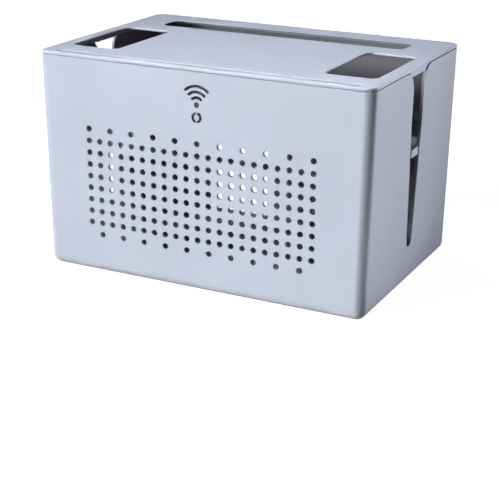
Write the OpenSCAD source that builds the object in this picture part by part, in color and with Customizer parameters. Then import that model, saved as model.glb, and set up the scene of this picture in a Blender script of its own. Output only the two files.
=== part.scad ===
// Cable management box: a lift-off lid on a drafted tub, with a loose shelf inside and four stick-on feet.
// Millimetres. The origin is at the middle of the footprint, on the surface that the feet stand on.
// +X is to the right, +Y to the back and +Z up.

/* [Box] */
// Width over the rim
box_w = 280; // [270:1:310]
// Depth over the rim
box_d = 186; // [180:1:210]
// Height of the tub and the closed lid, without the feet
box_h = 176; // [172:1:190]
// Thickness of the tub's walls and floor
wall_t = 2.4; // [2:0.1:3]
// Radius of the upright corners and of the bottom edge
corner_r = 8; // [6:0.5:10]
// How far the left and right walls lean in from the rim to the bottom
side_draft = 2.4; // [1:0.1:3]
// How far the front and back walls lean in from the rim to the bottom
front_draft = 0.4; // [0.2:0.1:1]

/* [Vents] */
// Diameter of one vent hole
vent_d = 4.6; // [3:0.1:5]
// Distance between neighbouring vent holes
vent_pitch = 9.55; // [9.4:0.05:9.7]
// Holes in a full row
vent_cols = 21; // [15:2:21]
// Rows, with the thinned-out first and last rows
vent_rows = 10; // [6:1:10]
// Height of the middle of the vent field above the floor's underside
vent_mid_z = 75.5; // [74:0.5:76]

/* [Signal sign] */
// Height of the sign's dot above the floor's underside
sign_z = 148.4; // [145:0.1:150]
// Width of the cut lines
sign_line = 2.1; // [1.6:0.1:2.4]
// Radius of the smallest arc
sign_first_r = 5.5; // [5:0.1:6]
// Distance from one arc to the next
sign_step = 4.3; // [4:0.1:4.5]
// Angle from the upright to each arc's end
sign_half_angle = 41; // [30:1:45]
// Distance from the dot down to the split ring's centre
ring_drop = 9.6; // [9:0.1:11]
// Radius of the split ring's line
ring_r = 3.3; // [3:0.1:4]

/* [Side slots] */
// Height of the slot's round bottom end above the floor's underside
slot_low_z = 31; // [28:1:36]
// Width at the bottom
slot_low_w = 11; // [10:0.5:13]
// Width of the parallel upper part
slot_high_w = 23.2; // [20:0.2:24]
// Height at which the tapered part ends
slot_taper_z = 132; // [120:1:140]
// Radius of the flare at the mouth
slot_flare_r = 16; // [12:1:18]

/* [Rear windows] */
// Width of each of the two windows
window_w = 58; // [40:1:60]
// Distance from the middle of the box to a window's middle
window_x = 58; // [50:1:62]
// Height of a window's top edge above the floor's underside
window_top_z = 78; // [60:1:84]
// Radius of a window's top corners
window_r = 6; // [4:1:8]

/* [Lid] */
// Height of the flange round the lid's edge
lid_t = 3; // [2.5:0.1:3.5]
// Thickness of the plate inside the flange
plate_t = 2; // [1.6:0.1:2.4]
// Depth of the locating lip below the plate
lip_h = 3; // [2:0.5:3]
// Thickness of the locating lip
lip_t = 1.6; // [1.4:0.1:2]
// Width of each hand-sized opening
hatch_w = 41.6; // [36:0.2:44]
// Length of each hand-sized opening, front to back
hatch_d = 86.4; // [70:0.2:88]
// Distance from the middle of the lid to an opening's middle
hatch_x = 108.6; // [104:0.2:110]
// Place of the openings' middle, front to back
hatch_y = -19.9; // [-24:0.1:-18]
// Radius of the openings' corners
hatch_r = 6.5; // [5:0.5:10]
// Length of the long rear slot
rear_slot_w = 218; // [190:1:220]
// Width of the long rear slot, front to back
rear_slot_d = 25; // [18:0.2:26]
// Place of the rear slot's middle, front to back
rear_slot_y = 57.2; // [54:0.2:60]
// Radius of the rear slot's corners
rear_slot_r = 6; // [4:1:8]
// Length of the phone groove along the front edge
groove_w = 255; // [230:1:258]
// Width of the phone groove, front to back
groove_d = 5.4; // [5:0.1:6]
// Depth of the phone groove
groove_h = 6; // [5:0.5:6.5]
// Distance from the lid's front edge to the groove
groove_inset = 4.4; // [4.4:0.1:6]

/* [Shelf] */
// Thickness of the shelf
shelf_t = 2.5; // [2:0.1:3]
// Height of the shelf's top above the floor's underside
shelf_top_z = 107.5; // [107:0.1:108]
// Width of the opening in the shelf
shelf_gap_w = 130; // [100:1:160]
// Length of the opening in the shelf, front to back
shelf_gap_d = 114; // [90:1:120]
// Width of the shelf's strip along the front wall
shelf_front_strip = 14.6; // [12:0.2:16]
// Width of the tab that fills part of each side slot
shelf_tab_w = 14.6; // [9:0.2:16]
// Height of that tab
shelf_tab_h = 6.3; // [5:0.1:8]

/* [Feet] */
// Diameter of a stick-on foot
foot_d = 14; // [10:1:18]
// How far a foot stands out below the floor
foot_out = 1; // [0.8:0.1:2]
// Distance from the middle of the box to a foot, sideways
foot_x = 112; // [100:1:115]
// Distance from the middle of the box to a foot, front to back
foot_y = 66; // [60:1:70]

/* [Hidden] */

$fn = 64;
eps = 0.01;                            // thickness of a layer that only shapes a hull
reach = 2;                             // how far a cutting shape runs past the face it cuts
gap = 0.4;                             // clearance between pieces that lift apart
shell_fn = 32;                         // corners of the drafted shell, which is hulled

base_z = foot_out;                     // the floor's underside
floor_z = base_z + wall_t;             // the floor's top
top_z = base_z + box_h;                // the lid's top
seam_z = top_z - lid_t;                // where the lid rests on the rim

inner_w = box_w - 2 * wall_t;          // inside the rim
inner_d = box_d - 2 * wall_t;
inner_r = corner_r - wall_t;

// Share of the draft that is left at a height: none at the rim, all of it at the bottom.
function lean(z) = (seam_z - z) / (seam_z - base_z);
function half_w(z) = box_w / 2 - side_draft * lean(z);
function half_d(z) = box_d / 2 - front_draft * lean(z);

vent_r = vent_d / 2;
sign_arcs = 3;
sign_dot_r = sign_line;
sign_end_r = sign_line / 2 + 0.04;     // the round ends, which cross the line's edges
ring_half_gap = 27;                    // angle from the upright to where each half ring starts

slot_high_half = slot_high_w / 2;
slot_flare_edge = 0.2;                 // keeps the flare from meeting the rim in a knife edge
slot_flare_z = seam_z + slot_flare_edge - slot_flare_r;
window_sill = 0.6;                     // what is left of the wall below a window

lid_tab_low_y = [-15.4, 12.3];         // the tab that hangs in each slot's mouth, front and back
lid_tab_high_y = [-21, 22.5];
lid_tab_h = 4.3;
lid_tab_in = 1;                        // how far its face stays behind the wall's
groove_skin = 1.6;                     // the channel's walls and floor under the plate
groove_mid_y = -box_d / 2 + groove_inset + groove_d / 2;
groove_r = groove_d / 2 - 0.2;         // the groove's ends, round but for a narrow flat

ledge_w = 220;                         // the ledges that the shelf rests on
ledge_d = 5;
ledge_h = 2.7;
shelf_z = base_z + shelf_top_z - shelf_t;
shelf_half_w = half_w(shelf_z) - wall_t - gap;
shelf_half_d = half_d(shelf_z) - wall_t - gap;
shelf_gap_r = 10;
shelf_tab_low = 0.5;                   // how far the tab reaches below the shelf

foot_recess = 0.6;
foot_play = 0.2;                       // gap around a foot in its recess

// --- flat shapes and the drafted shell -----------------------------------------------------------

module rounded_rect(w, d, r) {
    square([w - 2 * r, d], center = true);
    square([w, d - 2 * r], center = true);
    for (x = [-1, 1], y = [-1, 1])
        translate([x * (w / 2 - r), y * (d / 2 - r)])
            circle(r);
}

module rounded_plate(w, d, h, r) {
    linear_extrude(h)
        rounded_rect(w, d, r);
}

// A ball whose lowest point is exactly one radius below its centre.
module corner_ball(r) {
    rotate_extrude($fn = shell_fn)
        intersection() {
            circle(r, $fn = shell_fn);
            translate([0, -r])
                square([r, 2 * r]);
        }
}

// The tub's solid outline: a round edge at the bottom and walls that lean out up to the rim.
module drafted_block(r, rim_z) {
    hull()
        for (x = [-1, 1], y = [-1, 1]) {
            translate([
                x * (box_w / 2 - corner_r - side_draft),
                y * (box_d / 2 - corner_r - front_draft),
                base_z + corner_r
            ])
                corner_ball(r);
            translate([x * (box_w / 2 - corner_r), y * (box_d / 2 - corner_r), rim_z])
                cylinder(r = r, h = eps, $fn = shell_fn);
        }
}

// --- what is cut out of the tub ------------------------------------------------------------------

// Bores through the front wall. The first and last rows have every second hole only.
module vent_field() {
    mid_col = (vent_cols - 1) / 2;
    mid_row = (vent_rows - 1) / 2;
    for (row = [0 : vent_rows - 1]) {
        first = row == vent_rows - 1 ? 1 : 0;
        stride = row == 0 || row == vent_rows - 1 ? 2 : 1;
        for (col = [first : stride : vent_cols - 1 - first])
            translate([
                (col - mid_col) * vent_pitch,
                -box_d / 2 - reach,
                base_z + vent_mid_z + (mid_row - row) * vent_pitch
            ])
                rotate([-90, 0, 0])
                    cylinder(r = vent_r, h = wall_t + front_draft + 2 * reach);
    }
}

// One line of the sign: an arc with round ends, in the XY plane and upright along Y.
module round_arc(r, from, to) {
    far = 2 * r;
    intersection() {
        difference() {
            circle(r + sign_line / 2);
            circle(r - sign_line / 2);
        }
        polygon([
            [0, 0],
            far * [sin(from), cos(from)],
            far * [sin((from + to) / 2), cos((from + to) / 2)],
            far * [sin(to), cos(to)]
        ]);
    }
    for (a = [from, to])
        translate(r * [sin(a), cos(a)])
            circle(sign_end_r);
}

// A fan of three arcs over a dot, and a split ring below it.
module signal_sign() {
    translate([0, -box_d / 2 + wall_t + reach, base_z + sign_z])
        rotate([90, 0, 0])
            linear_extrude(wall_t + front_draft + 2 * reach) {
                circle(sign_dot_r);
                for (i = [0 : sign_arcs - 1])
                    round_arc(sign_first_r + i * sign_step, -sign_half_angle, sign_half_angle);
                translate([0, -ring_drop]) {
                    round_arc(ring_r, ring_half_gap, 180 - ring_half_gap);
                    round_arc(ring_r, 180 + ring_half_gap, 360 - ring_half_gap);
                }
            }
}

// Outline of a side slot, with Y across and the height along the flat shape's second axis.
module slot_outline() {
    low_r = slot_low_w / 2;
    low_z = base_z + slot_low_z + low_r;
    translate([0, low_z])
        circle(low_r);
    polygon([
        [-low_r, low_z], [low_r, low_z],
        [slot_high_half, base_z + slot_taper_z], [slot_high_half, seam_z + reach],
        [-slot_high_half, seam_z + reach], [-slot_high_half, base_z + slot_taper_z]
    ]);
    difference() {
        translate([-slot_high_half - slot_flare_r, slot_flare_z])
            square([slot_high_w + 2 * slot_flare_r, slot_flare_r + reach]);
        for (y = [-1, 1])
            translate([y * (slot_high_half + slot_flare_r), slot_flare_z])
                circle(slot_flare_r);
    }
}

module side_slots() {
    depth = wall_t + side_draft + 2 * reach;
    for (x = [-box_w / 2 + depth - reach, box_w / 2 + reach])
        translate([x, 0, 0])
            rotate([90, 0, -90])
                linear_extrude(depth)
                    slot_outline();
}

// A window with round top corners that reaches down almost to the floor.
module rear_window(x) {
    h = base_z + window_top_z - floor_z - window_sill;
    depth = corner_r + front_draft + reach;
    translate([x, box_d / 2 + reach, floor_z + window_sill])
        rotate([90, 0, 0])
            linear_extrude(depth) {
                translate([-window_w / 2, 0])
                    square([window_w, h - window_r]);
                translate([0, h / 2])
                    rounded_rect(window_w, h, window_r);
            }
}

module foot_place(x, y) {
    translate([x * foot_x, y * foot_y, 0])
        children();
}

module foot_recesses() {
    for (x = [-1, 1], y = [-1, 1])
        foot_place(x, y)
            cylinder(d = foot_d + 2 * foot_play, h = base_z + foot_recess);
}

// The shelf rests on one of these along the front wall and one along the back wall.
module shelf_ledges() {
    for (y = [-1, 1])
        translate([-ledge_w / 2, y > 0 ? half_d(shelf_z) - wall_t - ledge_d : -half_d(shelf_z) + wall_t / 2,
                   shelf_z - ledge_h])
            cube([ledge_w, ledge_d + wall_t / 2, ledge_h]);
}

// --- what hangs under the lid --------------------------------------------------------------------

module locating_lip() {
    w = inner_w - 2 * gap;
    d = inner_d - 2 * gap;
    r = inner_r - gap;
    difference() {
        translate([0, 0, seam_z - lip_h])
            rounded_plate(w, d, lip_h + lid_t / 2, r);
        lip_inside();
    }
}

// The hollow that the lip goes round. It reaches up to the plate's underside.
module lip_inside() {
    inset = gap + lip_t;
    h = lip_h + reach + lid_t - plate_t;
    translate([0, 0, seam_z - lip_h - reach])
        rounded_plate(inner_w - 2 * inset, inner_d - 2 * inset, h, inner_r - inset);
}

// The closed channel under the phone groove. Its front wall is part of the locating lip.
module groove_channel() {
    front_y = -inner_d / 2 + gap;
    back_y = groove_mid_y + groove_d / 2 + groove_skin;
    w = groove_w + 2 * groove_skin;
    low_z = top_z - groove_h - groove_skin;
    translate([-w / 2, front_y, low_z])
        cube([w, back_y - front_y, seam_z + lid_t / 2 - low_z]);
}

// Tabs that close the top of the side slots, just behind the tub's outer faces.
module slot_tabs() {
    depth = wall_t + gap + lip_t;
    face_x = box_w / 2 - lid_tab_in;
    for (x = [depth - face_x, face_x])
        translate([x, 0, 0])
            rotate([90, 0, -90])
                linear_extrude(depth)
                    polygon([
                        [-lid_tab_low_y[1], seam_z - lid_tab_h], [-lid_tab_low_y[0], seam_z - lid_tab_h],
                        [-lid_tab_high_y[0], seam_z + eps], [-lid_tab_high_y[1], seam_z + eps]
                    ]);
}

module lid_cut(x, y, w, d, r) {
    translate([x, y, seam_z - reach])
        rounded_plate(w, d, lid_t + 2 * reach, r);
}

// --- the pieces ----------------------------------------------------------------------------------

module box_body() {
    color([0.77, 0.79, 0.86])
        difference() {
            union() {
                difference() {
                    drafted_block(corner_r, seam_z - eps);
                    drafted_block(inner_r, seam_z + reach);
                }
                shelf_ledges();
            }
            vent_field();
            signal_sign();
            side_slots();
            for (x = [-1, 1])
                rear_window(x * window_x);
            foot_recesses();
        }
}

module lid() {
    color([0.79, 0.81, 0.88])
        difference() {
            union() {
                difference() {
                    translate([0, 0, seam_z])
                        rounded_plate(box_w, box_d, lid_t, corner_r);
                    lip_inside();
                }
                locating_lip();
                groove_channel();
                slot_tabs();
            }
            for (x = [-1, 1])
                lid_cut(x * hatch_x, hatch_y, hatch_w, hatch_d, hatch_r);
            lid_cut(0, rear_slot_y, rear_slot_w, rear_slot_d, rear_slot_r);
            translate([0, groove_mid_y, top_z - groove_h])
                rounded_plate(groove_w, groove_d, groove_h + reach, groove_r);
        }
}

module inner_shelf() {
    tab_z = shelf_z - shelf_tab_low;
    tab_face = half_w(tab_z);
    color([0.74, 0.76, 0.83])
        union() {
            difference() {
                translate([0, 0, shelf_z])
                    rounded_plate(2 * shelf_half_w, 2 * shelf_half_d, shelf_t, inner_r);
                translate([0, -shelf_half_d + shelf_front_strip + shelf_gap_d / 2, shelf_z - reach])
                    rounded_plate(shelf_gap_w, shelf_gap_d, shelf_t + 2 * reach, shelf_gap_r);
            }
            for (x = [-1, 1])
                translate([x * (tab_face + shelf_half_w - wall_t) / 2, 0, tab_z + shelf_tab_h / 2])
                    cube([tab_face - shelf_half_w + wall_t, shelf_tab_w, shelf_tab_h], center = true);
        }
}

module foot(x, y) {
    color([0.25, 0.25, 0.27])
        foot_place(x, y)
            cylinder(d = foot_d, h = base_z + foot_recess);
}

box_body();
lid();
inner_shelf();
foot(-1, -1);  // foot_front_left
foot(1, -1);  // foot_front_right
foot(-1, 1);  // foot_back_left
foot(1, 1);  // foot_back_right
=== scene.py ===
"""Cable management box: its visible surfaces, finishes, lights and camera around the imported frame.

Everything is in metres. +X is to the right, +Y to the back and +Z up, and the origin is at the
middle of the footprint on the surface that the feet stand on.
"""

from __future__ import annotations

import logging
import math
from abc import ABC, abstractmethod
from dataclasses import dataclass, field, replace
from enum import Enum
from operator import itemgetter
from typing import Any, Sequence

import bpy
import numpy as np
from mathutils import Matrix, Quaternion, Vector
from mathutils.geometry import delaunay_2d_cdt

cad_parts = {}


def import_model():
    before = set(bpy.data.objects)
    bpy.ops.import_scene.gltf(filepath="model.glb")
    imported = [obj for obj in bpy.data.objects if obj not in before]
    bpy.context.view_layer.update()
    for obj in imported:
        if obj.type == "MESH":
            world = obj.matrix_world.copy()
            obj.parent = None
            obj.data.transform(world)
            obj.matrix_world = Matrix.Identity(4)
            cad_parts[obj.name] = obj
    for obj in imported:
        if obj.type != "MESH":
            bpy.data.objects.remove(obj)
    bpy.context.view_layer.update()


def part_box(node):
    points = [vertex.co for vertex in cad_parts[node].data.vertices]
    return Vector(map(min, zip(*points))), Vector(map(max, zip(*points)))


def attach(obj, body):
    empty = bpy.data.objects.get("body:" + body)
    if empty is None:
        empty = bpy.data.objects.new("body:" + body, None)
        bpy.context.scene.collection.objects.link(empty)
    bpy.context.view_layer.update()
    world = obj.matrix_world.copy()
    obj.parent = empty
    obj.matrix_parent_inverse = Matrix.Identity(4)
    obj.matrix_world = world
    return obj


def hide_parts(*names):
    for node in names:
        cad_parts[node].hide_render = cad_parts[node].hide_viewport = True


LOG = logging.getLogger("cable_box")

MM = 0.001
QUARTER = math.pi / 2
# Points closer than this become one vertex.
WELD = 1.5e-6
# A length smaller than this counts as none.
FLAT_LIMIT = 1e-9
# The mesh attributes that hold each point's share of the darker painted inside shade, which also
# brings the matt inside roughness, and how much its edge is lightened for rubbing and a painted
# highlight.
INNER_SHADE = "core"
WEAR_AND_HIGHLIGHT = "wear_and_highlight"
# Distance over which the outside colour gives way to the darker painted inside shade and the matt
# inside roughness.
SHADE_STEP = 0.05 * MM
# Length of a stretch along a curved slit, and stretches round a slit's end.
SLIT_STEP = 0.7 * MM
SLIT_END_STEPS = 8


# --- patches of surface, and the mesh they make -----------------------------------------------------


@dataclass(frozen=True)
class Patch:
    """A stretch of surface.

    Attributes:
        points: x, y and z of each point.
        normals: the outward direction at each point.
        faces: rows of point numbers, three or four to a face.
        core: 0 where a point has the outside colour, 1 where it has the darker painted shade and matt
            roughness of the inside.
        wear_and_highlight: 1 along the middle of a rounded edge, which is painted lighter, partly for
            rubbing from hands and cords and partly as a painted highlight.
    """

    points: np.ndarray
    normals: np.ndarray
    faces: np.ndarray
    core: np.ndarray
    wear_and_highlight: np.ndarray


def weave(
    points: np.ndarray,
    normals: np.ndarray,
    closed: bool = False,
    core: np.ndarray | float = 0.0,
    wear_and_highlight: np.ndarray | float = 0.0,
) -> Patch:
    """Four-cornered faces over a grid of points.

    Face (i, j) joins the points of rows i and i + 1 and columns j and j + 1.

    Args:
        points: rows by columns by three coordinates.
        normals: the outward direction at each point.
        closed: whether the last column joins the first.
        core: 0 for the outside colour and 1 for the darker painted inside shade, for the whole or for
            each row.
        wear_and_highlight: 0 for a flat and 1 for the middle of a rounded edge, for the whole or for
            each row.

    Returns:
        The patch.
    """
    rows, columns = points.shape[:2]
    number = np.arange(rows * columns).reshape(rows, columns)
    if closed:
        number = np.concatenate([number, number[:, :1]], axis=1)
    corners = [number[:-1, :-1], number[:-1, 1:], number[1:, 1:], number[1:, :-1]]
    faces = np.stack(corners, axis=-1).reshape(-1, 4)
    inner, wear_and_highlight_rows = (np.repeat(np.broadcast_to(value, rows), columns) for value in (core, wear_and_highlight))
    return Patch(points.reshape(-1, 3), normals.reshape(-1, 3), faces, inner, wear_and_highlight_rows)


def revolve(line: np.ndarray, out: np.ndarray, middle: Sequence[float], steps: int) -> Patch:
    """A section turned about an upright axis.

    A point of the section at radius r turns to r times (cos t, sin t) round the axis, and keeps its
    height. Its normal turns with it.

    Args:
        line: radius and height of each point of the section.
        out: the section's outward normals.
        middle: where the axis stands.
        steps: stretches in a whole turn.

    Returns:
        The patch.
    """
    t = np.linspace(0.0, 2 * math.pi, steps + 1)[:-1]
    spin = np.stack([np.cos(t), np.sin(t), 0 * t], axis=-1)
    up = np.array([0.0, 0.0, 1.0])
    points = line[:, None, :1] * spin + line[:, None, 1:] * up + (middle[0], middle[1], 0.0)
    return weave(points, out[:, None, :1] * spin + out[:, None, 1:] * up, closed=True)


def unit(vectors: np.ndarray) -> np.ndarray:
    """Vectors scaled to length one."""
    return vectors / np.linalg.norm(vectors, axis=-1, keepdims=True)


def right_of(line: np.ndarray) -> np.ndarray:
    """Normals on the right of a flat line, whose direction (u, v) turns to (v, -u)."""
    ahead = np.gradient(line, axis=0)
    return unit(np.column_stack([ahead[:, 1], -ahead[:, 0]]))


@dataclass
class Skin:
    """Patches gathered into one welded mesh.

    Attributes:
        patches: the patches, in the order in which they were added.
    """

    patches: list[Patch] = field(default_factory=list)

    def add(self, *patches: Patch) -> None:
        """Adds patches to the mesh."""
        self.patches.extend(patches)

    def build(self, name: str) -> bpy.types.Object:
        """Welds the patches and puts them into the scene.

        Points closer than the weld distance become one vertex, and faces that lose their area are
        left out. A face is wound so that its own normal agrees with the sum of its corners'
        normals. The corners keep their patches' normals, so flat stretches shade flat and
        rounded edges shade round.

        Args:
            name: the new object's name.

        Returns:
            The object, with its place in its mesh.
        """
        points = np.concatenate([p.points for p in self.patches])
        normals = unit(np.concatenate([p.normals for p in self.patches]))
        starts = np.cumsum([0] + [len(p.points) for p in self.patches[:-1]])
        cell = np.round(points / WELD).astype(np.int64)
        _, first, vertex = np.unique(cell, axis=0, return_index=True, return_inverse=True)
        vertex = vertex.ravel()
        corners = []
        for size in (3, 4):
            rows = [p.faces + s for p, s in zip(self.patches, starts) if p.faces.shape[1] == size]
            if rows:
                corners.extend(_whole_faces(np.concatenate(rows), vertex, points, normals))
        faces = [row for group in corners for row in vertex[group].tolist()]
        order = np.concatenate([group.ravel() for group in corners])
        mesh = bpy.data.meshes.new(name)
        mesh.from_pydata(points[first], [], faces)
        mesh.shade_smooth()
        mesh.normals_split_custom_set(normals[order].tolist())
        for key in (INNER_SHADE, WEAR_AND_HIGHLIGHT):
            value = np.concatenate([getattr(p, key) for p in self.patches])[first].astype(np.float32)
            mesh.attributes.new(key, "FLOAT", "POINT").data.foreach_set("value", value)
        mesh.update()
        made = bpy.data.objects.new(name, mesh)
        bpy.context.scene.collection.objects.link(made)
        return made


def _whole_faces(
    faces: np.ndarray, vertex: np.ndarray, points: np.ndarray, normals: np.ndarray
) -> list[np.ndarray]:
    """Faces that keep their area when welded, wound the way their normals point.

    Args:
        faces: rows of point numbers, three or four to a face.
        vertex: the welded vertex of each point.
        points: the points.
        normals: the outward direction at each point.

    Returns:
        One array of whole faces for each number of corners that is left.
    """
    across, up = points[faces[:, 2]] - points[faces[:, 0]], points[faces[:, -1]] - points[faces[:, 1]]
    if faces.shape[1] == 3:
        up = points[faces[:, 2]] - points[faces[:, 1]]
        across = points[faces[:, 1]] - points[faces[:, 0]]
    facing = np.cross(across, up)
    wrong = np.sum(facing * normals[faces].sum(axis=1), axis=1) < 0
    faces = np.where(wrong[:, None], faces[:, ::-1], faces)
    welded = np.sort(vertex[faces], axis=1)
    whole = np.all(np.diff(welded, axis=1) > 0, axis=1)
    if faces.shape[1] == 3:
        return [faces[whole]]
    halves = np.concatenate([faces[~whole][:, [0, 1, 2]], faces[~whole][:, [0, 2, 3]]])
    welded = np.sort(vertex[halves], axis=1)
    return [faces[whole], halves[np.all(np.diff(welded, axis=1) > 0, axis=1)]]


# --- outlines drawn on a wall or plate ---------------------------------------------------------------


@dataclass(frozen=True)
class Outline:
    """A cut edge drawn on a slab, with the opening on the left of the direction of travel.

    Attributes:
        points: the two flat coordinates of each point.
        closed: whether the last point joins the first.
    """

    points: np.ndarray
    closed: bool = True

    def into_opening(self) -> np.ndarray:
        """Mitred direction into the opening at each point.

        A stretch's left-hand normal is its direction turned by a quarter. A point's direction is
        the sum of the normals on its two sides, over one plus their dot product, so that a line
        set back by it stays parallel to both stretches.

        Returns:
            One vector for each point.
        """
        ahead = np.roll(self.points, -1, axis=0) - self.points
        if not self.closed:
            ahead[-1] = ahead[-2]
        left = unit(np.stack([-ahead[:, 1], ahead[:, 0]], axis=1))
        behind = np.roll(left, 1, axis=0)
        if not self.closed:
            behind[0] = left[0]
        return (left + behind) / (1 + np.sum(left * behind, axis=1, keepdims=True))

    def set_back(self, distance: float) -> np.ndarray:
        """The outline's points, moved away from the opening."""
        return self.points - distance * self.into_opening()

    def turned_over(self) -> Outline:
        """The same line with the opening on its other side."""
        return Outline(self.points[::-1], self.closed)


def arc(centre: Sequence[float], radius: float, start: float, end: float, steps: int) -> np.ndarray:
    """Points on a circle: the centre plus the radius times (cos t, sin t), for t from start to end.

    Args:
        centre: the circle's centre.
        radius: its radius.
        start: first angle in radians.
        end: last angle in radians.
        steps: stretches between the first and the last point.

    Returns:
        One more point than there are steps.
    """
    t = np.linspace(start, end, steps + 1)
    return np.asarray(centre) + radius * np.stack([np.cos(t), np.sin(t)], axis=1)


def circle(centre: Sequence[float], radius: float, steps: int) -> Outline:
    """A round hole."""
    return Outline(arc(centre, radius, 0.0, 2 * math.pi, steps)[:-1])


def rounded_rectangle(
    size: Sequence[float], radius: float, centre: Sequence[float] = (0.0, 0.0), steps: int = 10
) -> Outline:
    """A rectangular hole whose four corners are quarter circles.

    Args:
        size: width and depth.
        radius: radius of the corners.
        centre: the middle of the hole.
        steps: stretches in a corner.

    Returns:
        The outline.
    """
    inset = np.asarray(size) / 2 - radius
    signs = [(1, 1), (-1, 1), (-1, -1), (1, -1)]
    corners = [
        arc(centre + inset * np.asarray(sign), radius, k * QUARTER, (k + 1) * QUARTER, steps)
        for k, sign in enumerate(signs)
    ]
    return Outline(np.concatenate(corners))


def round_ended_arc(
    centre: Sequence[float], radius: float, width: float, start: float, end: float
) -> Outline:
    """A curved slit with half-round ends.

    It follows the circle's outer line, the half circle round its far end, the inner line back and
    the half circle round its near end.

    Args:
        centre: centre of the circle that the slit follows.
        radius: radius of the slit's middle line.
        width: width of the slit.
        start: angle of the near end's centre.
        end: angle of the far end's centre.

    Returns:
        The outline.
    """
    half = width / 2
    steps = max(SLIT_END_STEPS, round(radius * (end - start) / SLIT_STEP))
    near, far = arc(centre, radius, start, end, 1)
    lines = [
        arc(centre, radius + half, start, end, steps),
        arc(far, half, end, end + math.pi, SLIT_END_STEPS)[1:-1],
        arc(centre, radius - half, end, start, steps),
        arc(near, half, start + math.pi, start + 2 * math.pi, SLIT_END_STEPS)[1:-1],
    ]
    return Outline(np.concatenate(lines))


# --- slabs: walls and plates with two skins ----------------------------------------------------------


@dataclass(frozen=True)
class Station:
    """One line of a cut edge, which runs along an outline.

    Attributes:
        share: 0 where it is measured from the outer skin, 1 from the inner skin.
        depth: how far it lies beyond that skin, inwards.
        offset: how far it is set back from the opening.
        turn: angle from the skin's normal towards the opening.
        core: 0 for the outside colour and 1 for the darker painted inside shade with its matt
            roughness. None goes by the share.
    """

    share: float
    depth: float
    offset: float
    turn: float
    core: float | None = None

    @property
    def finish(self) -> float:
        """0 for the outside colour and 1 for the darker painted inside shade with its matt roughness.
        """
        return self.share if self.core is None else self.core

    @property
    def wear_and_highlight(self) -> float:
        """The sine of twice its turn where it is set back, which is 1 halfway round an edge."""
        return math.sin(2 * self.turn) if self.offset > 0 else 0.0


def round_over(radius: float, steps: int, share: float = 0.0, sunk: float = 0.0) -> list[Station]:
    """A quarter round from a skin into a cut.

    At angle t the line is set back by the radius times (1 - sin t) and lies the radius times
    (1 - cos t) under the skin, and its normal is turned by t.

    Args:
        radius: the quarter round's radius.
        steps: stretches in it.
        share: 0 for the outer skin and 1 for the inner skin.
        sunk: how far under the skin it starts.

    Returns:
        The stations, from the skin to the cut.
    """
    inwards = 1 - 2 * share
    return [
        Station(share, inwards * (sunk + radius * (1 - math.cos(t))), radius * (1 - math.sin(t)), t)
        for t in np.linspace(0.0, QUARTER, steps + 1)
    ]


def through_cut(outer: float, inner: float, steps: int, lit: float = 0.0) -> list[Station]:
    """A cut through a slab with both of its edges rounded.

    Args:
        outer: radius of the outer edge's rounding.
        inner: radius of the inner edge's rounding.
        steps: stretches in each rounding.
        lit: how far the outside colour reaches into the cut, below its rounding, before the darker
            painted inside shade.

    Returns:
        The stations, from the outer skin to the inner skin.
    """
    # Below the outer rounding the cut's wall changes to the darker painted inside shade.
    change = [
        Station(0.0, outer + lit + core * SHADE_STEP, 0.0, QUARTER, core) for core in (0.0, 1.0)
    ]
    return round_over(outer, steps) + change + round_over(inner, steps, share=1.0)[::-1]


def undercut(mouth: float, height: float, back: float, steps: int) -> list[Station]:
    """A cut with a rounded upper edge, which slopes back under it to the inner skin.

    Args:
        mouth: radius of the upper edge's rounding.
        height: thickness of the slab.
        back: how far the slope runs back.
        steps: stretches in the rounding.

    Returns:
        The stations, from the outer skin to the inner skin.
    """
    down = math.pi - math.atan2(height - mouth, back)
    # The slope under the rounding has the darker painted inside shade.
    slope = [Station(0.0, mouth + SHADE_STEP, 0.0, down, 1.0), Station(1.0, 0.0, back, down)]
    return round_over(mouth, steps) + slope + [Station(1.0, 0.0, back, 0.0)]


def shadow_edge(top: float, bottom: float, rebate: Sequence[float], steps: int) -> list[Station]:
    """A plate's outer edge that leaves a shadow line over what the plate rests on.

    It is rounded above and below, and under it a shallow step is cut back into the underside. The
    lower rounding keeps the outside colour, and the step has the darker painted inside shade.

    Args:
        top: radius of the upper rounding.
        bottom: radius of the lower rounding.
        rebate: height and depth of the step.
        steps: stretches in each rounding.

    Returns:
        The stations, from the upper skin to the lower skin.
    """
    height, back = rebate
    lower = [replace(s, core=0.0) for s in round_over(bottom, steps, 1.0, height)[::-1]]
    # From here the step under the edge has the darker painted inside shade.
    change = [Station(1.0, -height, bottom + SHADE_STEP, 0.0)]
    step = [Station(1.0, -height, back, 0.0), Station(1.0, -height, back, QUARTER)]
    foot = [Station(1.0, 0.0, back, QUARTER), Station(1.0, 0.0, back, 0.0)]
    return round_over(top, steps) + lower + change + step + foot


def pocket(mouth: float, floor: float, depth: float, steps: int, core: float = 0.0) -> list[Station]:
    """A blind pocket with a rounded mouth and a rounded foot.

    The foot's line at angle t lies its radius times (1 - sin t) above the floor and stands its
    radius times (1 - cos t) out from the wall.

    Args:
        mouth: radius at the skin.
        floor: radius where the wall meets the floor.
        depth: the pocket's depth.
        steps: stretches in each rounding.
        core: share of the darker painted inside shade on the walls below the mouth.

    Returns:
        The stations, from the skin to the floor.
    """
    change = [Station(0.0, mouth + SHADE_STEP, 0.0, QUARTER, core)]
    foot = [
        Station(0.0, depth - floor * (1 - math.sin(t)), -floor * (1 - math.cos(t)), QUARTER - t, core)
        for t in np.linspace(0.0, QUARTER, steps + 1)
    ]
    return round_over(mouth, steps) + change + foot


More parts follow.
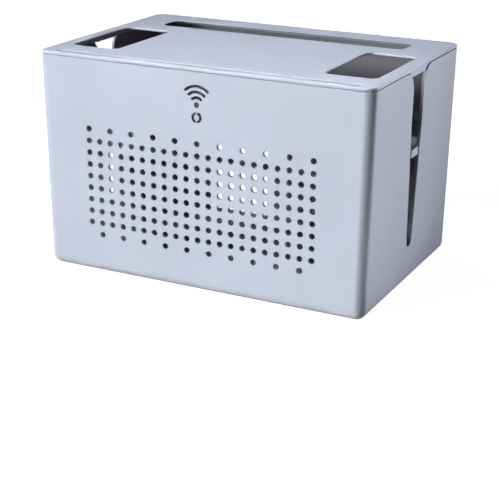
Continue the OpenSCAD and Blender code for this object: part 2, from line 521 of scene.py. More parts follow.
def crossings(spots: np.ndarray, loop: np.ndarray) -> np.ndarray:
    """Whether each spot lies inside a closed loop.

    A line from the spot towards +x crosses the loop's stretches an odd number of times.

    Args:
        spots: flat points to test.
        loop: the loop's points.

    Returns:
        One truth value for each spot.
    """
    start, end = loop, np.roll(loop, -1, axis=0)
    x, y = spots[:, :1], spots[:, 1:]
    spans = (start[:, 1] > y) != (end[:, 1] > y)
    rise = end[:, 1] - start[:, 1]
    rise = np.where(np.abs(rise) < FLAT_LIMIT, FLAT_LIMIT, rise)
    where = start[:, 0] + (y - start[:, 1]) * (end[:, 0] - start[:, 0]) / rise
    return np.sum(spans & (x < where), axis=1) % 2 == 1


class Slab(ABC):
    """A wall or plate with an outer and an inner skin, drawn on with two flat coordinates."""

    @abstractmethod
    def place(self, flat: np.ndarray, share: float, depth: float) -> np.ndarray:
        """Points of a skin, moved inwards.

        Args:
            flat: the points' two flat coordinates.
            share: 0 for the outer skin and 1 for the inner skin.
            depth: how far inwards of that skin they lie.

        Returns:
            The points in space.
        """

    @abstractmethod
    def normal(self, flat: np.ndarray, share: float) -> np.ndarray:
        """Outward normals of a skin.

        Args:
            flat: the points' two flat coordinates.
            share: 0 for the outer skin and 1 for the inner skin.

        Returns:
            One direction for each point.
        """

    @abstractmethod
    def lift(self, flat: np.ndarray) -> np.ndarray:
        """Flat directions as directions in space."""

    def cut(self, outline: Outline, stations: Sequence[Station]) -> Patch:
        """The surface of a cut: one line for each station, run along the outline.

        A line's points are the outline's, set back by the station's offset, and its normals are
        the skin's turned towards the opening by the station's angle.

        Args:
            outline: the opening's edge.
            stations: the cut's profile.

        Returns:
            The patch.
        """
        into = outline.into_opening()
        towards = self.lift(unit(into))
        points, normals = [], []
        for station in stations:
            flat = outline.points - station.offset * into
            points.append(self.place(flat, station.share, station.depth))
            skin = self.normal(flat, station.share)
            normals.append(math.cos(station.turn) * skin + math.sin(station.turn) * towards)
        core, wear_and_highlight = np.array([(station.finish, station.wear_and_highlight) for station in stations]).T
        return weave(np.stack(points), np.stack(normals), outline.closed, core, wear_and_highlight)

    def skin(
        self,
        loops: Sequence[np.ndarray],
        share: float = 0.0,
        depth: float = 0.0,
        seams: Sequence[np.ndarray] = (),
    ) -> Patch:
        """A skin between loops, in triangles that follow every loop and seam.

        Args:
            loops: closed lines. What an odd number of them goes round is covered.
            share: 0 for the outer skin and 1 for the inner skin.
            depth: how far inwards of that skin it lies.
            seams: open lines that the triangles follow too.

        Returns:
            The patch.
        """
        lines = [np.concatenate([loop, loop[:1]]) for loop in loops] + list(seams)
        flat = np.concatenate(lines)
        starts = np.cumsum([0] + [len(line) for line in lines[:-1]])
        edges = [np.arange(s, s + len(line) - 1) for s, line in zip(starts, lines)]
        edges = np.concatenate(edges)
        edges = np.stack([edges, edges + 1], axis=1).tolist()
        made = delaunay_2d_cdt((flat / MM).tolist(), edges, [], 0, WELD / MM, True)
        flat = flat[list(map(itemgetter(0), made[3]))]
        faces = np.array(made[2])
        middles = flat[faces].mean(axis=1)
        covered = np.zeros(len(faces), bool)
        for loop in loops:
            near = np.all((middles > loop.min(axis=0)) & (middles < loop.max(axis=0)), axis=1)
            covered[near] ^= crossings(middles[near], loop)
        core = np.full(len(flat), share)
        points, normals = self.place(flat, share, depth), self.normal(flat, share)
        return Patch(points, normals, faces[covered], core, 0 * core)


def turned(points: np.ndarray, quarters: int) -> np.ndarray:
    """Points or directions turned about the upright axis, counter-clockwise.

    x becomes x times the turn's cosine less y times its sine, and y becomes x times the sine plus
    y times the cosine.

    Args:
        points: the points or directions.
        quarters: number of quarter turns, from 0 to 3.

    Returns:
        The turned points or directions.
    """
    cosine, sine = ((1, 0), (0, 1), (-1, 0), (0, -1))[quarters]
    x, y, z = points[..., 0], points[..., 1], points[..., 2]
    return np.stack([cosine * x - sine * y, sine * x + cosine * y, z], axis=-1)


@dataclass(frozen=True)
class Level(Slab):
    """A level plate, drawn on with x and y.

    Attributes:
        outer: height of its outer skin.
        inner: height of its inner skin, above or below the outer one.
    """

    outer: float
    inner: float

    def place(self, flat: np.ndarray, share: float, depth: float) -> np.ndarray:
        """Points at a skin's height, moved by the depth towards the other skin.

        Args:
            flat: the points' x and y.
            share: 0 for the outer skin and 1 for the inner skin.
            depth: how far from that skin they lie.

        Returns:
            The points in space.
        """
        inwards = math.copysign(1.0, self.inner - self.outer)
        height = self.outer + share * (self.inner - self.outer) + inwards * depth
        return np.column_stack([flat, np.full(len(flat), height)])

    def normal(self, flat: np.ndarray, share: float) -> np.ndarray:
        """Straight up or down."""
        up = math.copysign(1.0, self.outer - self.inner) * (1 - 2 * share)
        return np.tile([0.0, 0.0, up], (len(flat), 1))

    def lift(self, flat: np.ndarray) -> np.ndarray:
        """Flat directions as directions in space."""
        return np.column_stack([flat, np.zeros(len(flat))])


@dataclass(frozen=True)
class Upright(Slab):
    """An upright plate that faces along x or y, drawn on with the way across and the height.

    Attributes:
        quarters: quarter turns that bring a plate facing -Y to this one.
        outer: distance of its outer skin from the origin.
        inner: distance of its inner skin.
    """

    quarters: int
    outer: float
    inner: float

    def place(self, flat: np.ndarray, share: float, depth: float) -> np.ndarray:
        """Points at a skin's distance less the depth, turned to the plate's side.

        Args:
            flat: the points' way across and height.
            share: 0 for the outer skin and 1 for the inner skin.
            depth: how far inwards of that skin they lie.

        Returns:
            The points in space.
        """
        out = self.outer + share * (self.inner - self.outer) - depth
        across, height = flat[:, 0], flat[:, 1]
        return turned(np.column_stack([across, np.full(len(flat), -out), height]), self.quarters)

    def normal(self, flat: np.ndarray, share: float) -> np.ndarray:
        """Straight out of a skin."""
        facing = np.tile([0.0, 2.0 * share - 1.0, 0.0], (len(flat), 1))
        return turned(facing, self.quarters)

    def lift(self, flat: np.ndarray) -> np.ndarray:
        """Flat directions as directions in space."""
        across = np.column_stack([flat[:, 0], np.zeros(len(flat)), flat[:, 1]])
        return turned(across, self.quarters)


def inside(patches: Sequence[Patch]) -> list[Patch]:
    """The same patches with the darker painted inside shade and matt roughness all over."""
    return [replace(patch, core=np.ones(len(patch.points))) for patch in patches]


def closed_plate(
    slab: Slab,
    outline: Outline,
    edge: Sequence[Station],
    holes: Sequence[tuple[Outline, Sequence[Station]]] = (),
) -> list[Patch]:
    """A whole plate: two skins, its outer edge, and the walls of its holes.

    Args:
        slab: the plate's place.
        outline: its outer edge, drawn as a hole and turned over here.
        edge: the outer edge's profile.
        holes: each hole's outline and profile.

    Returns:
        The patches.
    """
    cuts = [(outline.turned_over(), edge), *holes]
    skins = [
        slab.skin([line.set_back(rows[end].offset) for line, rows in cuts], share)
        for share, end in ((0.0, 0), (1.0, -1))
    ]
    return skins + [slab.cut(line, rows) for line, rows in cuts]


# --- finishes ----------------------------------------------------------------------------------------


class Joining(Enum):
    """How two numbers become one, by the Math node's name for it."""

    SUM = "ADD"
    PRODUCT = "MULTIPLY"


@dataclass
class Mixture:
    """Adds and joins the shader nodes of one material or world.

    Attributes:
        tree: the node tree that they go into.
    """

    tree: bpy.types.NodeTree

    def add(self, kind: str, settings: dict[str, Any] | None = None, **inputs: Any) -> bpy.types.Node:
        """Adds a node.

        Args:
            kind: the node's type.
            settings: its own properties.
            **inputs: values or other nodes' outputs for its sockets, with _ for a space.

        Returns:
            The node.
        """
        made = self.tree.nodes.new(kind)
        for key, value in (settings or {}).items():
            setattr(made, key, value)
        for key, value in inputs.items():
            self.feed(made.inputs[key.replace("_", " ")], value)
        return made

    def feed(self, socket: bpy.types.NodeSocket, value: Any) -> None:
        """Links an output to a socket, or sets the socket's value.

        Args:
            socket: a node's input.
            value: another node's output, or the value.
        """
        if isinstance(value, bpy.types.NodeSocket):
            self.tree.links.new(value, socket)
        else:
            socket.default_value = value

    def attribute(self, name: str) -> bpy.types.NodeSocket:
        """A number that the mesh holds for each point."""
        return self.add("ShaderNodeAttribute", {"attribute_name": name}).outputs["Fac"]

    def noise(
        self, place: bpy.types.NodeSocket, size: float, detail: float = 2.0
    ) -> bpy.types.NodeSocket:
        """Noise whose lumps are about one size across, in metres."""
        made = self.add("ShaderNodeTexNoise", Vector=place, Scale=1.0 / size, Detail=detail)
        return made.outputs["Fac"]

    def spread(
        self, value: bpy.types.NodeSocket, low: float, high: float, window: float = 0.2
    ) -> bpy.types.NodeSocket:
        """Maps noise around one half to a range of numbers, with the ends clamped."""
        ends = {"From_Min": 0.5 - window, "From_Max": 0.5 + window, "To_Min": low, "To_Max": high}
        return self.add("ShaderNodeMapRange", Value=value, **ends).outputs["Result"]

    def join(
        self, operation: Joining, first: bpy.types.NodeSocket, second: bpy.types.NodeSocket
    ) -> bpy.types.NodeSocket:
        """Joins two numbers and keeps the result from 0 to 1.

        Args:
            operation: how they are joined.
            first: the first number.
            second: the second number.

        Returns:
            The result.
        """
        made = self.add("ShaderNodeMath", {"operation": operation.value, "use_clamp": True})
        self.feed(made.inputs[0], first)
        self.feed(made.inputs[1], second)
        return made.outputs[0]

    def between(self, factor: bpy.types.NodeSocket, first: Any, second: Any) -> bpy.types.NodeSocket:
        """A number that the factor takes from the first to the second.

        Args:
            factor: 0 for the first and 1 for the second.
            first: a number or an output.
            second: a number or an output.

        Returns:
            The number.
        """
        made = self.add("ShaderNodeMix", {"data_type": "FLOAT"})
        # Inputs 0, 2 and 3 are the node's factor and numbers.
        for place, value in ((0, factor), (2, first), (3, second)):
            self.feed(made.inputs[place], value)
        return made.outputs[0]

    def blend(self, factor: bpy.types.NodeSocket, first: Any, second: Any) -> bpy.types.NodeSocket:
        """A colour that the factor takes from the first to the second.

        Args:
            factor: 0 for the first and 1 for the second.
            first: a colour of three numbers or an output.
            second: a colour of three numbers or an output.

        Returns:
            The colour.
        """
        made = self.add("ShaderNodeMix", {"data_type": "RGBA"})
        # Inputs 0, 6 and 7 are the node's factor and colours, and output 2 is its colour.
        self.feed(made.inputs[0], factor)
        for place, colour in ((6, first), (7, second)):
            linked = isinstance(colour, bpy.types.NodeSocket)
            self.feed(made.inputs[place], colour if linked else (*colour, 1.0))
        return made.outputs[2]

    def bump(
        self,
        height: bpy.types.NodeSocket,
        depth: float,
        strength: float,
        under: bpy.types.NodeSocket | None = None,
    ) -> bpy.types.NodeSocket:
        """Relief, on top of another relief if one is given.

        Args:
            height: noise that gives the height.
            depth: the relief's depth in metres.
            strength: how strongly it turns the normals.
            under: the other relief.

        Returns:
            The normals.
        """
        made = self.add("ShaderNodeBump", Height=height, Distance=depth, Strength=strength)
        if under is not None:
            self.feed(made.inputs["Normal"], under)
        return made.outputs["Normal"]


def new_material(name: str) -> tuple[bpy.types.Material, Mixture, bpy.types.Node]:
    """An empty material with one principled shader.

    Args:
        name: the material's name.

    Returns:
        The material, its mixture and its shader.
    """
    made = bpy.data.materials.new(name)
    made.use_nodes = True
    mix = Mixture(made.node_tree)
    mix.tree.nodes.clear()
    shader = mix.add("ShaderNodeBsdfPrincipled")
    mix.add("ShaderNodeOutputMaterial", Surface=shader.outputs["BSDF"])
    return made, mix, shader


@dataclass(frozen=True)
class MouldedPlastic:
    """Satin injection-moulded plastic with a fine spark-eroded grain.

    Attributes:
        name: the material's name.
        colour: its linear colour.
        core: its linear colour on the inside, painted darker for the shade inside the box.
        seed: shift of the patterns, so that no two pieces match.
        drift: share by which the colour varies over the piece.
        cloud: size of the slow colour changes.
        speck: size of the fine specks.
        speck_tone: how far a speck moves the colour towards its light end.
        wear_and_highlight_tone: share by which rounded edges are painted lighter, for rubbing and a
            painted highlight.
        wear_and_highlight_patch: size of the patches where edges are lightened more and less.
        wear_and_highlight_range: least and most lightening of the edges.
        roughness: lowest and highest roughness.
        smudge: size of the duller and glossier patches.
        core_roughness: roughness on the inside.
        sink: size of the sink marks.
        sink_depth: their depth.
        sink_strength: how strongly they turn the normals.
        grain: size of the grain's lumps.
        grain_depth: height of the grain.
        grain_strength: how strongly it turns the normals.
        ior: index of refraction.
    """

    name: str
    colour: tuple[float, float, float]
    core: tuple[float, float, float]
    seed: float = 0.0
    drift: float = 0.03
    cloud: float = 90 * MM
    speck: float = 1.1 * MM
    speck_tone: float = 0.25
    wear_and_highlight_tone: float = 0.2
    wear_and_highlight_patch: float = 9 * MM
    wear_and_highlight_range: tuple[float, float] = (0.6, 1.2)
    roughness: tuple[float, float] = (0.42, 0.52)
    smudge: float = 26 * MM
    core_roughness: float = 0.7
    sink: float = 45 * MM
    sink_depth: float = 0.12 * MM
    sink_strength: float = 0.35
    grain: float = 0.45 * MM
    grain_depth: float = 0.012 * MM
    grain_strength: float = 0.6
    ior: float = 1.47

    def build(self) -> bpy.types.Material:
        """Makes the material.

        Returns:
            The material.
        """
        made, mix, shader = new_material(self.name)
        coordinates = mix.add("ShaderNodeTexCoord").outputs["Object"]
        shift = (self.seed, -self.seed, 0.5 * self.seed)
        place = mix.add("ShaderNodeMapping", Vector=coordinates, Location=shift).outputs["Vector"]
        # The inside share darkens the colour with painted shade and also gives the matt inside
        # roughness.
        inside = mix.attribute(INNER_SHADE)
        mix.feed(shader.inputs["Base Color"], self.tint(mix, place, inside))
        smudge = mix.spread(mix.noise(place, self.smudge, detail=4.0), *self.roughness)
        mix.feed(shader.inputs["Roughness"], mix.between(inside, smudge, self.core_roughness))
        sink = mix.bump(mix.noise(place, self.sink, detail=1.0), self.sink_depth, self.sink_strength)
        grain = mix.bump(mix.noise(place, self.grain), self.grain_depth, self.grain_strength, sink)
        mix.feed(shader.inputs["Normal"], grain)
        shader.inputs["IOR"].default_value = self.ior
        return made

    def tint(
        self, mix: Mixture, place: bpy.types.NodeSocket, inside: bpy.types.NodeSocket
    ) -> bpy.types.NodeSocket:
        """The colour: clouds and specks on both finishes, edges lightened on the outside for rubbing
        and a painted highlight, and a darker painted shade inside.

        Args:
            mix: the material's mixture.
            place: the coordinates that the patterns follow.
            inside: 0 for the outside colour and 1 for the darker painted inside shade.

        Returns:
            The colour.
        """
        cloud = mix.spread(mix.noise(place, self.cloud, detail=3.0), 0.0, 1.0)
        speck = mix.spread(mix.noise(place, self.speck, detail=1.0), 0.0, self.speck_tone, window=0.1)
        tone = mix.join(Joining.SUM, cloud, speck)
        patches = mix.spread(mix.noise(place, self.wear_and_highlight_patch, detail=3.0), *self.wear_and_highlight_range)
        wear_and_highlight_mask = mix.join(Joining.PRODUCT, mix.attribute(WEAR_AND_HIGHLIGHT), patches)
        light = tuple(c * (1 + self.drift) for c in self.colour)
        dark = tuple(c * (1 - self.drift) for c in self.colour)
        # Rounded edges are painted lighter, for rubbing and a painted highlight.
        bright = tuple(min(1.0, c * (1 + self.wear_and_highlight_tone)) for c in self.colour)
        inner_shade_light = tuple(c * (1 + 2 * self.drift) for c in self.core)
        outer = mix.blend(wear_and_highlight_mask, mix.blend(tone, dark, light), bright)
        # Inside, the colour gives way to the darker painted shade.
        return mix.blend(inside, outer, mix.blend(tone, self.core, inner_shade_light))


@dataclass(frozen=True)
class SoftRubber:
    """Matt moulded rubber with a dusty bloom.

    Attributes:
        name: the material's name.
        colour: its linear colour.
        bloom: the colour of its dusty patches.
        dust: size of those patches.
        roughness: lowest and highest roughness.
        patch: size of the duller and glossier patches.
        grain: size of the grain's lumps.
        grain_depth: height of the grain.
        grain_strength: how strongly it turns the normals.
    """

    name: str
    colour: tuple[float, float, float] = (0.045, 0.046, 0.05)
    bloom: tuple[float, float, float] = (0.1, 0.1, 0.105)
    dust: float = 4 * MM
    roughness: tuple[float, float] = (0.62, 0.82)
    patch: float = 2 * MM
    grain: float = 0.3 * MM
    grain_depth: float = 0.02 * MM
    grain_strength: float = 0.5

    def build(self) -> bpy.types.Material:
        """Makes the material.

        Returns:
            The material.
        """
        made, mix, shader = new_material(self.name)
        place = mix.add("ShaderNodeTexCoord").outputs["Object"]
        dust = mix.spread(mix.noise(place, self.dust, detail=3.0), 0.0, 1.0)
        mix.feed(shader.inputs["Base Color"], mix.blend(dust, self.colour, self.bloom))
        rough = mix.spread(mix.noise(place, self.patch), *self.roughness)
        mix.feed(shader.inputs["Roughness"], rough)
        grain = mix.bump(mix.noise(place, self.grain), self.grain_depth, self.grain_strength)
        mix.feed(shader.inputs["Normal"], grain)
        return made


@dataclass(frozen=True)
class PaperSweep:
    """The matt white sweep that the box stands on, lit through from below.

    Attributes:
        name: the material's name.
        colour: its linear colour.
        glow: radiance of the light that comes through it.
        fibre: size of its lighter patches, in metres.
        fibre_tone: share by which they are lighter.
        roughness: its roughness.
    """

    name: str
    colour: tuple[float, float, float]
    glow: float
    fibre: float = 0.2
    fibre_tone: float = 0.01
    roughness: float = 0.95

    def build(self) -> bpy.types.Material:
        """Makes the material.

        Returns:
            The material.
        """
        made, mix, shader = new_material(self.name)
        place = mix.add("ShaderNodeTexCoord").outputs["Object"]
        fibre = mix.spread(mix.noise(place, self.fibre), 0.0, 1.0)
        light = tuple(min(1.0, c * (1 + self.fibre_tone)) for c in self.colour)
        mix.feed(shader.inputs["Base Color"], mix.blend(fibre, self.colour, light))
        shader.inputs["Roughness"].default_value = self.roughness
        shader.inputs["Specular IOR Level"].default_value = 0.0
        shader.inputs["Emission Color"].default_value = (1.0, 1.0, 1.0, 1.0)
        shader.inputs["Emission Strength"].default_value = self.glow
        return made


def dress(piece: bpy.types.Object, material: bpy.types.Material, body: str) -> None:
    """Gives a piece its material, its body and its material slot, and reports it.

    Args:
        piece: the piece.
        material: its material.
        body: the body that it rides on.
    """
    piece.data.materials.append(material)
    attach(piece, body)
    LOG.info("%s: %d faces, rides on %s", piece.name, len(piece.data.polygons), body)


# --- the tub -----------------------------------------------------------------------------------------


class Side(Enum):
    """A wall of the tub, by the quarter turns that bring the front wall to it."""

    FRONT = 0
    RIGHT = 1
    BACK = 2
    LEFT = 3


@dataclass(frozen=True)
class TubForm:
    """The drafted shell: walls that lean out up to the rim, over a rounded bottom edge.

    Attributes:
        half_width: half of the width over the rim.
        half_depth: half of the depth over the rim.
        base: height of the floor's underside.
        rim: height of the rim.
        wall: thickness of the walls and floor.
        corner: radius of the upright corners and of the bottom edge.
        side_draft: how far the left and right walls lean in at the bottom.
        front_draft: how far the front and back walls lean in at the bottom.
        edge: radius of every cut edge.
        rim_edge: radius of the rim's outer edge.
    """

    half_width: float
    half_depth: float
    base: float
    rim: float
    wall: float = 2.4 * MM
    corner: float = 8.0 * MM
    side_draft: float = 2.4 * MM
    front_draft: float = 0.4 * MM
    edge: float = 0.4 * MM
    rim_edge: float = 0.3 * MM

    @property
    def bend(self) -> float:
        """Height where the bottom rounding starts."""
        return self.base + self.corner

    @property
    def floor(self) -> float:
        """Height of the floor's top."""
        return self.base + self.wall

    def draft(self, side: Side) -> float:
        """How far a wall leans in at the bottom."""
        return self.side_draft if side in (Side.RIGHT, Side.LEFT) else self.front_draft

    def half(self, side: Side, z: np.ndarray) -> np.ndarray:
        """Distance of a wall's outer face from the middle.

        It is the half width or depth at the rim, less the draft times the share of the height
        that is left down to the bend.

        Args:
            side: the wall.
            z: heights.

        Returns:
            One distance for each height.
        """
        rim = self.half_width if side in (Side.RIGHT, Side.LEFT) else self.half_depth
        lean = np.clip((self.rim - z) / (self.rim - self.bend), 0.0, 1.0)
        return rim - self.draft(side) * lean

    def flat_end(self, side: Side) -> float:
        """Half of a wall's flat length, which is the same at every height."""
        across = Side((side.value + 1) % 4)
        return float(self.half(across, np.array(self.bend))) - self.corner

    def bow(self, z: np.ndarray, share: np.ndarray | float) -> tuple[np.ndarray, np.ndarray]:
        """How far the bottom rounding moves a skin inwards, and the sine of its downward turn.

        With the skin's radius r and the depth h below the bend, it moves in by r less the square
        root of r squared less h squared, and the sine is h over r.

        Args:
            z: heights.
            share: 0 for the outer skin and 1 for the inner skin.

        Returns:
            The distances and the sines.
        """
        radius = self.corner - np.asarray(share) * self.wall
        below = np.clip(self.bend - z, 0.0, radius)
        return radius - np.sqrt(np.maximum(radius**2 - below**2, 0.0)), below / radius


@dataclass(frozen=True)
class TubWall(Slab):
    """One wall of the tub with its part of the bottom rounding, drawn on with across and height.

    Attributes:
        form: the drafted shell.
        side: which wall it is.
    """

    form: TubForm
    side: Side

    def place(self, flat: np.ndarray, share: float, depth: float) -> np.ndarray:
        """Points at the wall's distance less the bottom rounding's bow and the depth.

        Args:
            flat: the points' way across and height.
            share: 0 for the outer skin and 1 for the inner skin.
            depth: how far inwards of that skin they lie.

        Returns:
            The points in space.
        """
        across, z = flat[:, 0], flat[:, 1]
        bow, _ = self.form.bow(z, share)
        out = self.form.half(self.side, z) - share * self.form.wall - bow - depth
        return turned(np.column_stack([across, -out, z]), self.side.value)

    def normal(self, flat: np.ndarray, share: float) -> np.ndarray:
        """Outward normals of a skin, with the wall's draft and the rounding's turn.

        With the rounding's sine s and cosine c, a normal is c outwards and s plus the draft's
        slope times c downwards, brought to length one.

        Args:
            flat: the points' way across and height.
            share: 0 for the outer skin and 1 for the inner skin.

        Returns:
            One direction for each point.
        """
        _, sine = self.form.bow(flat[:, 1], share)
        cosine = np.sqrt(1 - sine**2)
        tilt = self.form.draft(self.side) / (self.form.rim - self.form.bend)
        out = np.column_stack([np.zeros(len(flat)), -cosine, -sine - tilt * cosine])
        return turned(unit(out) * (1 - 2 * share), self.side.value)

    def lift(self, flat: np.ndarray) -> np.ndarray:
        """Flat directions as directions in space."""
        across = np.column_stack([flat[:, 0], np.zeros(len(flat)), flat[:, 1]])
        return turned(across, self.side.value)


@dataclass(frozen=True)
class VentField:
    """Rows of round vents in the front wall. The first and last rows have every second hole.

    Attributes:
        diameter: diameter of a vent.
        pitch: distance between neighbouring vents.
        columns: vents in a full row.
        rows: number of rows.
        middle: height of the field's middle above the floor's underside.
        steps: stretches round a vent.
    """

    diameter: float = 4.6 * MM
    pitch: float = 9.55 * MM
    columns: int = 21
    rows: int = 10
    middle: float = 75.5 * MM
    steps: int = 24

    def outlines(self, base: float) -> list[Outline]:
        """The vents' edges.

        Args:
            base: height of the floor's underside.

        Returns:
            One outline for each vent.
        """
        column, row = np.meshgrid(np.arange(self.columns), np.arange(self.rows))
        thinned = (row == 0) & (column % 2 == 1) | (row == self.rows - 1) & (column % 2 == 0)
        x = (column - (self.columns - 1) / 2) * self.pitch
        z = base + self.middle + ((self.rows - 1) / 2 - row) * self.pitch
        centres = np.stack([x, z], axis=-1)[~thinned]
        return [circle(centre, self.diameter / 2, self.steps) for centre in centres]


@dataclass(frozen=True)
class SignalSign:
    """A cut-out fan of three arcs over a dot, and a split ring below it.

    Attributes:
        height: height of the dot above the floor's underside.
        line: width of the cut lines, and the dot's radius.
        first: radius of the smallest arc.
        step: distance from one arc to the next.
        arcs: number of arcs.
        spread: angle from the upright to an arc's end.
        ring_drop: distance from the dot down to the ring's centre.
        ring: radius of the ring's line.
        ring_gap: angle from the upright to where a half ring starts.
        steps: stretches round the dot.
    """

    height: float = 148.4 * MM
    line: float = 2.1 * MM
    first: float = 5.5 * MM
    step: float = 4.3 * MM
    arcs: int = 3
    spread: float = math.radians(41)
    ring_drop: float = 9.6 * MM
    ring: float = 3.3 * MM
    ring_gap: float = math.radians(27)
    steps: int = 32

    def outlines(self, base: float) -> list[Outline]:
        """The sign's edges.

        Args:
            base: height of the floor's underside.

        Returns:
            One outline for each slit and one for the dot.
        """
        dot = (0.0, base + self.height)
        low = (0.0, base + self.height - self.ring_drop)
        ends = (QUARTER - self.spread, QUARTER + self.spread)
        radii = [self.first + k * self.step for k in range(self.arcs)]
        fan = [round_ended_arc(dot, radius, self.line, *ends) for radius in radii]
        gaps = (self.ring_gap, math.pi - self.ring_gap)
        halves = [
            round_ended_arc(low, self.ring, self.line, *(start + gap for gap in gaps))
            for start in (-QUARTER, QUARTER)
        ]
        return [circle(dot, self.line, self.steps), *fan, *halves]


@dataclass(frozen=True)
class SideSlot:
    """The cord slot in each side wall: a round end, a taper, a parallel part and a flared mouth.

    Attributes:
        low: height of the round bottom end above the floor's underside.
        low_half: half of the width at the bottom.
        high_half: half of the width of the parallel part.
        taper: height above the floor's underside where the taper ends.
        flare: radius of the flare at the mouth.
        mouth: how far above the rim the flare's circle ends.
        rim_steps: stretches along the rim on each side of the mouth.
        flare_steps: stretches in a flare.
        end_steps: stretches in half of the round bottom end.
    """

    low: float = 31.0 * MM
    low_half: float = 5.5 * MM
    high_half: float = 11.6 * MM
    taper: float = 132.0 * MM
    flare: float = 16.0 * MM
    mouth: float = 0.2 * MM
    rim_steps: int = 8
    flare_steps: int = 16
    end_steps: int = 10

    def edge(self, base: float, rim: float, end: float) -> Outline:
        """The rim's line with the slot in its middle.

        The left half runs along the rim, down the flare's arc, the parallel part and the taper,
        and round to the lowest point. The right half is its mirror image.

        Args:
            base: height of the floor's underside.
            rim: height of the rim.
            end: distance from the middle to where the line starts and ends.

        Returns:
            The open outline.
        """
        centre = (-self.high_half - self.flare, rim + self.mouth - self.flare)
        start = math.asin((rim - centre[1]) / self.flare)
        flare = arc(centre, self.flare, start, 0.0, self.flare_steps)
        flare[0, 1] = rim
        along = np.linspace(-end, flare[0, 0], self.rim_steps + 1)[:-1]
        bottom = (0.0, base + self.low + self.low_half)
        left = np.concatenate(
            [
                np.column_stack([along, np.full(self.rim_steps, rim)]),
                flare,
                [(-self.high_half, base + self.taper)],
                arc(bottom, self.low_half, math.pi, 1.5 * math.pi, self.end_steps),
            ]
        )
        right = left[-2::-1] * (-1.0, 1.0)
        return Outline(np.concatenate([left, right]), closed=False)


@dataclass(frozen=True)
class RearWindow:
    """Two windows in the back wall that reach down almost to the floor.

    Attributes:
        width: width of a window.
        offset: distance from the middle of the box to a window's middle.
        top: height of its top edge above the floor's underside.
        sill: how much of the wall is left above the floor.
        corner: radius of its top corners.
        steps: stretches in a corner.
    """

    width: float = 58.0 * MM
    offset: float = 58.0 * MM
    top: float = 78.0 * MM
    sill: float = 0.6 * MM
    corner: float = 6.0 * MM
    steps: int = 8

    def outline(self, sign: int, form: TubForm, levels: np.ndarray) -> Outline:
        """One window's edge, with a point on its upright sides at each level.

        Args:
            sign: 1 or -1 for the window's side.
            form: the tub's shell.
            levels: heights of the lines that the wall's skins follow.

        Returns:
            The outline.
        """
        middle, half = sign * self.offset, self.width / 2
        low, high = form.floor + self.sill, form.base + self.top - self.corner
        rungs = levels[(levels > low) & (levels < high)]
        right = np.column_stack([np.full(len(rungs), middle + half), rungs])
        left = np.column_stack([np.full(len(rungs), middle - half), rungs[::-1]])
        inset = half - self.corner
        return Outline(
            np.concatenate(
                [
                    [(middle - half, low), (middle + half, low)],
                    right,
                    arc((middle + inset, high), self.corner, 0.0, QUARTER, self.steps),
                    arc((middle - inset, high), self.corner, QUARTER, math.pi, self.steps),
                    left,
                ]
            )
        )


